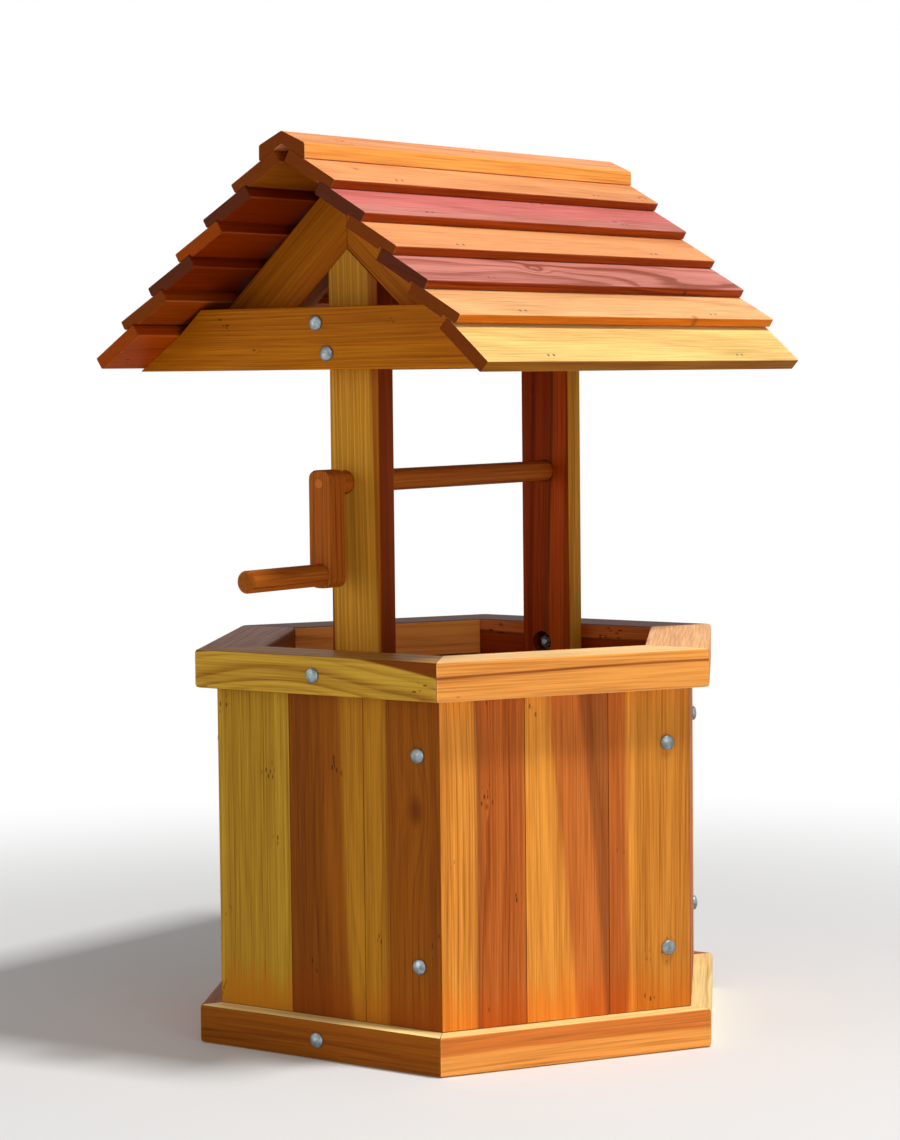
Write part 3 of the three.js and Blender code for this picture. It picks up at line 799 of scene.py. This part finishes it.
# %% [markdown]
# ## The walls
#
# Every wall is three upright boards, edge to edge between the rings. The frame has each wall
# as one panel with a groove where two boards meet. Here they become separate boards, because
# each has its own colour and the dark line between two of them is a real gap. A board starts
# as a cube, takes its size from the panel, and a mitre plane trims the two outer ones.

# %% Wall boards
BOARDS_PER_WALL = 3
BOARD_GAP = 0.6 * MM
WALL_EASE = 0.8 * MM
WALL_THICKNESS = 19 * MM
wall_low, wall_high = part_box("wall_panel_1")
wall_half = (wall_high.x - wall_low.x) / 2
board_width = 2 * wall_half / BOARDS_PER_WALL


def block(size, centre):
    shape = bmesh.new()
    bmesh.ops.create_cube(shape, size=1)
    bmesh.ops.scale(shape, vec=size, verts=shape.verts)
    bmesh.ops.translate(shape, vec=centre, verts=shape.verts)
    return shape


def saw_off(shape, corner, outwards):
    """Cuts away what lies outwards of a corner, and closes the cut with a face."""
    everything = [*shape.verts, *shape.edges, *shape.faces]
    cut = bmesh.ops.bisect_plane(
        shape, geom=everything, plane_co=corner, plane_no=outwards, clear_outer=True
    )
    loop = [item for item in cut["geom_cut"] if isinstance(item, bmesh.types.BMEdge)]
    bmesh.ops.contextual_create(shape, geom=loop)


def wall_board(side, index):
    size = Vector((board_width - BOARD_GAP, WALL_THICKNESS, wall_high.z - wall_low.z))
    centre_x = (index - (BOARDS_PER_WALL - 1) / 2) * board_width
    centre = Vector((centre_x, wall_low.y + WALL_THICKNESS / 2, (wall_low.z + wall_high.z) / 2))
    shape = block(size, centre)
    hand = {0: -1, BOARDS_PER_WALL - 1: 1}.get(index)
    if hand:
        corner = Vector((hand * wall_half, wall_low.y, 0))
        saw_off(shape, corner, Vector((hand * cos(SIDE_TURN / 2), -sin(SIDE_TURN / 2), 0)))
    ease(shape, WALL_EASE, sharper_than=20)
    turned = Matrix.Rotation((side - 1) * SIDE_TURN, 4, "Z")
    about = Matrix.Translation(middle) @ turned @ Matrix.Translation(-middle)
    bmesh.ops.transform(shape, matrix=about, verts=shape.verts)
    return finished(shape, f"wall_board_{side}_{index + 1}")


print("a wall board is", round(board_width / MM), "mm wide")

# %% [markdown]
# ### The walls' finish
#
# The boards of the two front walls are described one by one. The other walls take turns with
# five finishes of the same family. The middle board of every wall was sawn nearer to the pith
# than its neighbours, so that their grain differs.

# %% Wall finish
# Wall 1 stood in greenish shade, and its tones are partly painted shade: darker and more olive than those
# of wall 2.
WALL_FINISH = {
    (1, 0): finish("mustard", ticks=0.45, foot=0.85),
    (1, 1): finish("walnut", 0.50, "cinnamon", 0.76, "saffron", blur=0.05, ticks=0.15),
    (1, 2): finish("saffron", 0.29, "cinnamon", ticks=0.5),
    (2, 0): finish("apricot", 0.40, "copper", 0.46, "brick", ring_width=5.5, lines=0.5),
    (2, 1): finish("apricot", 0.44, "salmon", 0.80, "copper", lines=0.15, ticks=0.1),
    (2, 2): finish("brick", 0.22, "apricot", 0.30, "amber", ticks=0.45),
}
WALL_LEAN = {(1, 1): (-0.037, 0), (1, 2): (0.004, 0), (2, 1): (-0.085, 0)}
WALL_KNOT = {(1, 2): (24 * MM, 76 * MM, 13 * MM), (2, 0): (6 * MM, 80 * MM, 2.5 * MM)}
SPARE_WALLS = (
    ("amber", 0.6, "salmon"),
    ("brick",),
    ("saffron", 0.35, "cinnamon"),
    ("salmon", 0.3, "apricot"),
    ("copper", 0.7, "amber"),
)
WALL_FOOT = 0.5
WALL_SEED = 0.3
SPARE_LEAN = 0.01
WALL_PITHS = ((0.21, 0.13), (0.02, 0.13))
for side in range(1, SIDES + 1):
    for index in range(BOARDS_PER_WALL):
        piece = wall_board(side, index)
        spare = finish(*SPARE_WALLS[(2 * side + index) % len(SPARE_WALLS)])
        figure = stained(WALL_FINISH.get((side, index), spare), foot=WALL_FOOT)
        lean = WALL_LEAN.get((side, index), (SPARE_LEAN * (index - 1), 0))
        knot = WALL_KNOT.get((side, index), NO_KNOT)
        seed = BOARDS_PER_WALL * side + index + WALL_SEED
        saw(piece, figure, Z, Z.cross(outward(side)), WALL_PITHS[index % 2], seed, lean, knot)
        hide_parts(f"wall_panel_{side}")
print(SIDES * BOARDS_PER_WALL, "wall boards")

# %% [markdown]
# ## Inside the box
#
# A bevelled cleat in each corner takes the wall bolts, and four loose floor boards lie on the
# base ring with gaps for the water. The frame's cleats hold their bolts in one solid, so the
# cleat is cut afresh from a cube, with two planes for the bevels, and the bolts follow later.

# %% Cleats and floor boards
CLEAT_WIDTH = 89 * MM
CLEAT_THICKNESS = 38 * MM
CLEAT_PITH = (0.06, 0.05)
CLEAT_SEED = 40
FLOOR_PITH = (0.03, -0.1)
FLOOR_SEED = 50
GAP = 0.3 * MM
wall_inner = middle.y - wall_low.y - WALL_THICKNESS
cleat_ridge = (wall_inner - GAP) / cos(SIDE_TURN / 2)


def corner_cleat(number):
    size = Vector((CLEAT_THICKNESS, CLEAT_WIDTH, wall_high.z - wall_low.z))
    centre = Vector((cleat_ridge - CLEAT_THICKNESS / 2, 0, (wall_low.z + wall_high.z) / 2))
    shape = block(size, centre)
    for hand in (-1, 1):
        bevel = Vector((cos(SIDE_TURN / 2), hand * sin(SIDE_TURN / 2), 0))
        saw_off(shape, Vector((cleat_ridge, 0, 0)), bevel)
    ease(shape, WALL_EASE, sharper_than=20)
    angle = -pi / 2 + (number - 0.5) * SIDE_TURN
    place = Matrix.Translation(middle) @ Matrix.Rotation(angle, 4, "Z")
    bmesh.ops.transform(shape, matrix=place, verts=shape.verts)
    piece = finished(shape, f"corner_cleat_{number}_board")
    across = Vector((-sin(angle), cos(angle), 0))
    saw(piece, timber("apricot", 0.5, "salmon"), Z, across, CLEAT_PITH, CLEAT_SEED + number)
    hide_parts(f"corner_cleat_{number}")


for number in range(1, SIDES + 1):
    corner_cleat(number)
floor_boards = sorted(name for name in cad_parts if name.startswith("floor_board"))
for i, node in enumerate(floor_boards):
    figure = timber("apricot", 0.6, "brick", ring_width=6)
    board(node, "inner_timber", figure, X, Y, FLOOR_PITH, FLOOR_SEED + i)
print("cleats and", len(floor_boards), "floor boards")

# %% [markdown]
# ## Posts, collars and rafters
#
# Two posts rise from the ground inside the rings to a point under the ridge. A collar crosses
# each of them, and two rafters meet over it. The front post is sawn so far from its pith that
# its growth lines run straight up, and on this post they came out paler than the wood, so its
# line tint is brighter than 1. The back post shows its dark inner face, in wide red stripes.

# %% Gables
GABLE_PITCH = radians(42.1)
PALE_LINES = (1.9, 2.1, 3.5)
POST_FINISH = {
    # The thin maroon band at the left edge of the front post is painted shade on its rounded corner.
    "front": finish(
        *("maroon", 0.035, "post_gold", 0.95, "walnut"), edge="maroon", tint=PALE_LINES, lines=1.0
    ),
    "back": finish(
        *("sienna", 0.14, "russet", 0.42, "bark", 0.48, "cedar", 0.78, "oxblood", 0.86, "cedar"),
        edge="gold",
        blur=0.02,
    ),
}
POST_LEAN = (-0.02, 0)
POST_PITH = (0.3, -0.06)
COLLAR_PITH = (0.2, 0.06)
RAFTER_PITH = (0.1, 0.05)
POST_SEED, COLLAR_SEED, RAFTER_SEED = 60, 64, 68
RAFTER_KNOT = (12 * MM, -60 * MM, 5 * MM)


def downhill(hand, pitch):
    """The way down a slope, to the right for hand 1 and to the left for hand -1."""
    return Vector((hand * cos(pitch), 0, -sin(pitch)))


for end, hand in (("front", -1), ("back", 1)):
    figure = stained(POST_FINISH[end], ring_width=7, lines=0.4, ticks=0)
    seed = POST_SEED + hand
    board(f"post_{end}", "post_timber", figure, Z, X * -hand, POST_PITH, seed, lean=POST_LEAN)
    figure = timber("collar_gold", edge="collar_gold", end="walnut", ring_width=5, lines=0.35)
    board(f"collar_{end}", "gable_timber", figure, X, Z, COLLAR_PITH, COLLAR_SEED + hand)
    figure = timber("toffee", 0.7, "tobacco", edge="cinnamon", ring_width=8, lines=0.25)
    for number, down_hand, knot in ((1, -hand, RAFTER_KNOT), (2, hand, NO_KNOT)):
        down = downhill(down_hand, GABLE_PITCH)
        across = Vector((-down.z, 0, down.x))
        rafter = f"rafter_{end}_{number}"
        seed = RAFTER_SEED + hand + number
        board(rafter, "gable_timber", figure, down, across, RAFTER_PITH, seed, knot=knot)
print("two gables")

# %% [markdown]
# ## The roof
#
# Six boards lie on each slope, each one resting on the next below, with a rabbet under its
# lower edge. The sun side shows how different stained boards can be: peach, rose, mauve and
# straw side by side. The ridge cap is one heavy chevron. The lowest board on the left lies a
# little flatter than its rafters, as on the real roof, and its grain follows it.

# %% Roof boards and ridge cap
# The dark edge tones of the roof boards are partly painted shade on their lower edges, which face down
# the slope; the undersides take the same tones as painted shade.
ROOF_FINISH = {
    "right": (
        finish("peach", edge="ember", end="rust"),
        finish("rose", 0.75, "mauve", edge="ember", end="chocolate"),
        finish("peach", edge="ember", end="rust"),
        finish("mauve", edge="ember", end="chocolate", ring_width=6, lines=1.1, streaks=0.7),
        finish("light_peach", edge="flame", end="rust"),
        finish("straw", edge="ochre", end="rust", wear=0.1),
    ),
    "left": (
        finish("brick", edge="cinnamon", end="rust"),
        finish("copper", edge="oxblood", end="chocolate"),
        finish("salmon", edge="cedar", end="sienna"),
        finish("brick", edge="oxblood", end="chocolate"),
        finish("amber", edge="sienna", end="rust"),
        finish("salmon", edge="russet", end="sienna"),
    ),
}
ROOF_KNOTS = {
    ("right", 1): (4 * MM, -330 * MM, 3 * MM),
    ("right", 2): (24 * MM, 240 * MM, 4 * MM),
    ("right", 4): (2 * MM, -110 * MM, 5 * MM),
    ("right", 5): (42 * MM, 190 * MM, 5 * MM),
    ("left", 3): (-10 * MM, 120 * MM, 4 * MM),
}
HANDS = {"right": 1, "left": -1}
BOARDS_PER_SLOPE = 6
LAP_PITCH = radians(30.3)
EAVE_PITCH = {"right": GABLE_PITCH, "left": radians(34.1)}
ROOF_WEAR = 0.3
ROOF_PITH = (0.04, -0.11)
CAP_PITH = (0.12, -0.16)
ROOF_SEED, SLOPE_SEED, CAP_SEED = 79, 7, 99


def roof_pitch(side, number):
    return EAVE_PITCH[side] if number == BOARDS_PER_SLOPE else LAP_PITCH


def roof_board(side, number):
    hand = HANDS[side]
    usual = dict(ring_width=10, lines=0.15, streaks=0.4, ticks=0.12, wear=ROOF_WEAR)
    figure = stained(ROOF_FINISH[side][number - 1], **usual)
    down = downhill(hand, roof_pitch(side, number))
    knot = ROOF_KNOTS.get((side, number), NO_KNOT)
    seed = ROOF_SEED + SLOPE_SEED * hand + number
    node = f"roof_board_{side}_{number}"
    # Their undersides take the edge tone as painted shade.
    board(node, "roof_timber", figure, Y * hand, down, ROOF_PITH, seed, knot=knot, under=1.0)


for side in HANDS:
    for number in range(1, BOARDS_PER_SLOPE + 1):
        roof_board(side, number)
figure = timber("peach", edge="honey", end="rust", ring_width=10, lines=0.12, wear=ROOF_WEAR)
board("ridge_cap", "roof_timber", figure, Y, X, CAP_PITH, CAP_SEED)
print("twelve roof boards and their cap")

# %% [markdown]
# ## Roof nails
#
# Each roof board is nailed to the rafters under it, two nails to a rafter, close to its lower
# edge. A nail head is a small flat disc, driven until it is almost level with the wood. A short
# cylinder does for it. Its height comes from the board's own highest corner across the slope,
# because a head that sits by the board's box would be lost inside the wood.

# %% Nails
NAIL_RADIUS = 2.2 * MM
NAIL_THICKNESS = 0.8 * MM
NAIL_SUNK = 0.25 * MM
NAIL_FROM_EDGE = 13 * MM
NAILS_APART = 14 * MM
NAIL_STEPS = 14


def disc(shape, radius, thickness, steps):
    """A short round bar round the origin, standing along Z."""
    made = bmesh.ops.create_cone(
        shape, cap_ends=True, segments=steps, radius1=radius, radius2=radius, depth=thickness
    )
    return made["verts"]


def nail_places(side, number):
    pitch = roof_pitch(side, number)
    down = downhill(HANDS[side], pitch)
    normal = Vector((HANDS[side] * sin(pitch), 0, cos(pitch)))
    corners = [vertex.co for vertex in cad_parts[f"roof_board_{side}_{number}"].data.vertices]
    face = max(corner.dot(normal) for corner in corners)
    edge = max(corner.dot(down) for corner in corners)
    on_board = down * (edge - NAIL_FROM_EDGE) + normal * (face - NAIL_SUNK)
    for gable in ("front", "back"):
        rafter_low, rafter_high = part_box(f"rafter_{gable}_1")
        over_rafter = (rafter_low.y + rafter_high.y) / 2
        for nudge in (-NAILS_APART / 2, NAILS_APART / 2):
            yield on_board + Y * (over_rafter + nudge), normal


def nails(side):
    shape = bmesh.new()
    for number in range(1, BOARDS_PER_SLOPE + 1):
        for place, normal in nail_places(side, number):
            head = disc(shape, NAIL_RADIUS, NAIL_THICKNESS, NAIL_STEPS)
            turn = normal.to_track_quat("Z", "Y").to_matrix().to_4x4()
            bmesh.ops.transform(shape, matrix=Matrix.Translation(place) @ turn, verts=head)
    piece = finished(shape, f"roof_nails_{side}")
    return piece


nail_pieces = [nails(side) for side in HANDS]
print("forty-eight nails")

# %% [markdown]
# ## The crank
#
# The crank is the one thing that moves: a dowel through both posts, a square arm on its end and
# a dowel to hold. It is stained redder than the rest. All three ride on the crank's own body,
# and so does the small round plug that hides the screw in the arm.

# %% Crank
CRANK_PITH = (0.06, 0.05)
figure = timber("crank_red", edge="crank_red", end="bark", ring_width=6, lines=0.45, ticks=0)
for node, along, seed in (("crank_axle", Y, 110), ("crank_arm", Z, 112), ("crank_handle", Y, 114)):
    board(node, "crank_timber", figure, along, X, CRANK_PITH, seed, body="crank", edges=0.0, ends=0.3)

PLUG_RADIUS = 6.5 * MM
PLUG_PROUD = 0.5 * MM
PLUG_DEPTH = 6 * MM
PLUG_EASE = 0.4 * MM
PLUG_STEPS = 32
PLUG_PITH = (0.01, 0.01)
PLUG_SEED = 117
arm_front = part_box("crank_arm")[0].y
axle_low, axle_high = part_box("crank_axle")
axle_line = (axle_low + axle_high) / 2
plug = bmesh.new()
disc(plug, PLUG_RADIUS, PLUG_DEPTH + PLUG_PROUD, PLUG_STEPS)
ease(plug, PLUG_EASE)
bmesh.ops.rotate(plug, cent=(0, 0, 0), matrix=Matrix.Rotation(pi / 2, 3, "X"), verts=plug.verts)
plug_y = arm_front - PLUG_PROUD + (PLUG_DEPTH + PLUG_PROUD) / 2
bmesh.ops.translate(plug, vec=(axle_line.x, plug_y, axle_line.z), verts=plug.verts)
plug_piece = finished(plug, "crank_plug", "crank")
saw(plug_piece, timber("brick", end="brick", ticks=0), Y, X, PLUG_PITH, PLUG_SEED)
print("crank axle at height", round(axle_line.z, 3))

# %% [markdown]
# ## Zinc
#
# The bolts are zinc-plated steel, left outdoors. Fresh plating is bright and faintly blue, and
# it dulls in soft grey patches as it weathers. Two noises do this: a coarse one for the patches
# and a fine one for the crystals of the coating. One group makes both of the well's metals: the
# bolt heads are bright zinc, the nails are dark and brown with weather, and the nuts and washers
# take the same dark brown as painted shade, for they sit deep in their counterbores.

# %% Zinc material
PATCHES_PER_METRE = 110.0
PATCH_RANGE = (0.35, 0.65)
CRYSTALS_PER_METRE = 900.0
BRIGHT_ROUGHNESS = 0.3
DULLING = 0.16
CRYSTAL_ROUGHNESS = 0.08
CRYSTAL_RELIEF = 0.15


def make_zinc_group():
    inputs = {"Bright": "Color", "Dull": "Color"}
    tree, given, result = new_group("weathered_zinc", inputs, COAT)
    place = add(tree, "ShaderNodeTexCoord").outputs["Object"]
    coarse = {"Vector": place, "Scale": PATCHES_PER_METRE, "Detail": 2.0}
    patches = add(tree, "ShaderNodeTexNoise", coarse).outputs[0]
    fine = {"Vector": place, "Scale": CRYSTALS_PER_METRE}
    crystals = add(tree, "ShaderNodeTexVoronoi", fine).outputs[0]
    weathered = step_between(tree, patches, *PATCH_RANGE)
    colour = blend(tree, weathered, given["Bright"], given["Dull"])
    rough = reckon(tree, "MULTIPLY_ADD", weathered, DULLING, BRIGHT_ROUGHNESS)
    rough = reckon(tree, "MULTIPLY_ADD", crystals, CRYSTAL_ROUGHNESS, rough)
    height = reckon(tree, "MULTIPLY_ADD", crystals, CRYSTAL_RELIEF, patches)
    hand_out(tree, result, {"Colour": colour, "Roughness": rough, "Height": height})
    return tree


def metal(name, bright, dull):
    material, tree, shader = new_material(name, Metallic=0.85)
    tones = {"Bright": linear(bright), "Dull": linear(dull)}
    coating = add(tree, "ShaderNodeGroup", tones, node_tree=zinc_group)
    lay_on(tree, shader, coating, strength=0.2, depth=0.2 * MM)
    return material


zinc_group = make_zinc_group()
zinc = metal("zinc_plate", "9AA5AE", "78827E")
# Dark zinc: weathering on the nails, and painted shade of the counterbores on the nuts and washers.
weathered_and_shaded_zinc = metal("weathered_and_shaded_zinc", "5C5650", "3A322C")
for piece in nail_pieces:
    piece.data.materials.append(weathered_and_shaded_zinc)
print("zinc ready")

# %% [markdown]
# ## Carriage bolts
#
# A carriage bolt has a low round head that can't be gripped from outside, which suits a piece
# of garden furniture. Its outline is drawn once, as half a section, and spun round the axis.
# Two such bolts go through one end of each wall into the corner cleat behind it.

# %% Bolt heads
HEAD_RADIUS = 11 * MM
HEAD_HEIGHT = 6 * MM
HEAD_LIP = 0.8 * MM
SHANK_RADIUS = 4.75 * MM
SPIN_STEPS = 40
DOME_STEPS = 8


def spun(outline):
    """A closed body from its half section, points of (radius, distance along +Y)."""
    shape = bmesh.new()
    points = [shape.verts.new((radius, along, 0)) for radius, along in outline]
    edges = [shape.edges.new(pair) for pair in zip(points, points[1:])]
    round_y = dict(cent=(0, 0, 0), axis=(0, 1, 0), angle=2 * pi, steps=SPIN_STEPS)
    bmesh.ops.spin(shape, geom=[*points, *edges], use_merge=True, **round_y)
    bmesh.ops.remove_doubles(shape, verts=shape.verts, dist=0.01 * MM)
    bmesh.ops.recalc_face_normals(shape, faces=shape.faces)
    return shape


def bolt_outline(length):
    turns = [step / DOME_STEPS * pi / 2 for step in range(DOME_STEPS + 1)]
    rise = HEAD_HEIGHT - HEAD_LIP
    dome = [(HEAD_RADIUS * sin(turn), -HEAD_LIP - rise * cos(turn)) for turn in turns]
    return [*dome, (HEAD_RADIUS, 0), (SHANK_RADIUS, 0), (SHANK_RADIUS, length), (0, length)]


def place_bolt(shape, name, seat, way, node):
    """The seat is under the head, and the shank runs that way."""
    turn = way.to_track_quat("Y", "Z").to_matrix().to_4x4()
    bmesh.ops.transform(shape, matrix=Matrix.Translation(seat) @ turn, verts=shape.verts)
    piece = finished(shape, name)
    piece.data.materials.append(zinc)
    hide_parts(node)
    return piece


PANEL_BOLT_INSET = 37 * MM
PANEL_BOLT_RISE = 89 * MM
PANEL_BOLT_DROP = 79 * MM
bolt_heights = (
    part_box("base_ring_1")[1].z + PANEL_BOLT_RISE,
    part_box("rim_1")[0].z - PANEL_BOLT_DROP,
)
wall_outer = middle.y - wall_low.y
panel_bolt_along = wall_outer * tan(SIDE_TURN / 2) - PANEL_BOLT_INSET
for side in range(1, SIDES + 1):
    out = outward(side)
    for number, height in enumerate(bolt_heights, start=1):
        seat = middle + out * (wall_outer + GAP) + Z.cross(out) * panel_bolt_along + Z * height
        shape = spun(bolt_outline(WALL_THICKNESS + CLEAT_THICKNESS / 2))
        place_bolt(shape, f"panel_bolt_{side}_{number}", seat, -out, f"corner_cleat_{side}")
print("twelve panel bolts")

# %% [markdown]
# ### Long bolts
#
# The bolts through the posts are longer. They end in a washer and a nut inside a counterbore,
# with a few turns of thread standing out. The thread is drawn as closed ridges in the outline,
# which costs little, since only two or three turns can be seen past the nut.

# %% Long bolts with washer and nut
WASHER_RADIUS = 13 * MM
WASHER_THICKNESS = 2 * MM
NUT_RADIUS = 9.5 * MM
NUT_THICKNESS = 8 * MM
NUT_SIDES = 6
SKIN_GAP = 0.1 * MM
THREAD_END = 4 * MM
THREAD_PITCH = 1.5 * MM
THREAD_DEPTH = 0.8 * MM
# The washer and the nut take the dark zinc as painted shade of their counterbore.
SHADED_ZINC_INDEX = 1


def threaded_outline(length):
    outline = bolt_outline(length)[:-2]
    root = SHANK_RADIUS - THREAD_DEPTH
    for step in range(round(THREAD_END / THREAD_PITCH)):
        ridge = length - THREAD_END + step * THREAD_PITCH
        outline += [(SHANK_RADIUS, ridge), (root, ridge + THREAD_PITCH / 2)]
    return outline + [(root, length), (0, length)]


def long_bolt(node):
    low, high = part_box(node)
    length = high.y - low.y - HEAD_HEIGHT
    nut_seat = length - THREAD_END - NUT_THICKNESS
    washer_seat = nut_seat - WASHER_THICKNESS
    shape = spun(threaded_outline(length))
    for radius, start, thickness, steps in (
        (WASHER_RADIUS, washer_seat, WASHER_THICKNESS, SPIN_STEPS),
        (NUT_RADIUS, nut_seat, NUT_THICKNESS, NUT_SIDES),
    ):
        made = disc(shape, radius, thickness - SKIN_GAP, steps)
        for face in {face for vertex in made for face in vertex.link_faces}:
            face.material_index = SHADED_ZINC_INDEX
        place = Matrix.Translation((0, start + thickness / 2, 0)) @ Matrix.Rotation(pi / 2, 4, "X")
        bmesh.ops.transform(shape, matrix=place, verts=made)
    front = "front" in node
    seat = (low + high) / 2
    seat.y = low.y + HEAD_HEIGHT if front else high.y - HEAD_HEIGHT
    piece = place_bolt(shape, node + "_zinc", seat, Y if front else -Y, node)
    piece.data.materials.append(weathered_and_shaded_zinc)


long_bolts = sorted(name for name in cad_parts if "bolt" in name)
for node in long_bolts:
    long_bolt(node)
print(len(long_bolts), "long bolts")

# %% [markdown]
# ## Floor and backdrop
#
# The floor and the background are pale, so that the stain shows as it is. The background is
# white only for the camera and for reflections: it doesn't add light to the well. Near the
# well the floor is a real surface that takes the shadow, and further out it fades into the
# same white, so that no horizon shows.

# %% Floor and backdrop
bpy.context.scene.view_settings.view_transform = "Standard"
WHITE = (1, 1, 1, 1)
FLOOR_COLOUR = (0.84, 0.84, 0.83, 1)
FLOOR_DROP = 0.5 * MM
FLOOR_REACH = 40.0
FLOOR_NEAR = 0.9
FLOOR_FAR = 2.6
AMBIENT = 0.28


def seen_directly(tree):
    ray = add(tree, "ShaderNodeLightPath").outputs
    seen = reckon(tree, "MAXIMUM", ray["Is Camera Ray"], ray["Is Glossy Ray"])
    return reckon(tree, "MAXIMUM", seen, ray["Is Transmission Ray"])


floor_shape = bmesh.new()
bmesh.ops.create_grid(floor_shape, x_segments=1, y_segments=1, size=FLOOR_REACH)
floor_mesh = bpy.data.meshes.new("floor")
floor_shape.to_mesh(floor_mesh)
floor_shape.free()
floor = bpy.data.objects.new("floor", floor_mesh)
floor.location.z = -FLOOR_DROP
bpy.context.scene.collection.objects.link(floor)
material, tree, shader = new_material("pale_floor", Roughness=0.9, Specular_IOR_Level=0.1)
shader.inputs["Base Color"].default_value = FLOOR_COLOUR
floor_mesh.materials.append(material)
place = add(tree, "ShaderNodeTexCoord").outputs["Object"]
from_well = add(tree, "ShaderNodeVectorMath", {0: place}, operation="LENGTH").outputs["Value"]
fading = step_between(tree, from_well, FLOOR_NEAR, FLOOR_FAR)
white = add(tree, "ShaderNodeEmission", {"Color": WHITE, "Strength": 1.0}).outputs[0]
away = times(tree, fading, seen_directly(tree))
ground = add(tree, "ShaderNodeMixShader", {0: away, 1: shader.outputs[0], 2: white}).outputs[0]
tree.links.new(ground, tree.nodes["Material Output"].inputs["Surface"])

world = bpy.data.worlds.new("studio")
bpy.context.scene.world = world
world.use_nodes = True
sky = world.node_tree
ambient = sky.nodes["Background"]
ambient.inputs["Color"].default_value = WHITE
ambient.inputs["Strength"].default_value = AMBIENT
backdrop = add(sky, "ShaderNodeBackground", {"Color": WHITE, "Strength": 1.0}).outputs[0]
lights = {0: seen_directly(sky), 1: ambient.outputs[0], 2: backdrop}
both = add(sky, "ShaderNodeMixShader", lights).outputs[0]
sky.links.new(both, sky.nodes["World Output"].inputs["Surface"])
print("floor and backdrop")

# %% [markdown]
# ## Lamps
#
# Three lamps light the well at a plain level. The key lamp stands high on the right, where the
# sun was, so that the right slope and the right walls are the bright ones and the rim throws
# its shadow on the boards below it. A large lamp low on the right softens that shadow, and
# another low on the left opens up the gable and the front left wall.

# %% Lamps
LAMP_DISTANCE = 5.0
WHITE_POWER = pi * pi
centre = (cad_low + cad_high) / 2


def lamp(name, azimuth, elevation, size, level):
    """At level 1 a white surface that faces the lamp renders white."""
    towards = direction(radians(azimuth), radians(elevation))
    data = bpy.data.lights.new(name, "AREA")
    data.size = size
    data.energy = level * WHITE_POWER * LAMP_DISTANCE**2
    lamp_object = bpy.data.objects.new(name, data)
    facing = towards.to_track_quat("Z", "Y").to_matrix().to_4x4()
    lamp_object.matrix_world = Matrix.Translation(centre + towards * LAMP_DISTANCE) @ facing
    bpy.context.scene.collection.objects.link(lamp_object)


lamp("key", azimuth=92, elevation=66, size=0.6, level=0.83)
lamp("side", azimuth=62, elevation=8, size=3.0, level=0.12)
lamp("fill", azimuth=-30, elevation=8, size=3.0, level=0.2)
print("three lamps")
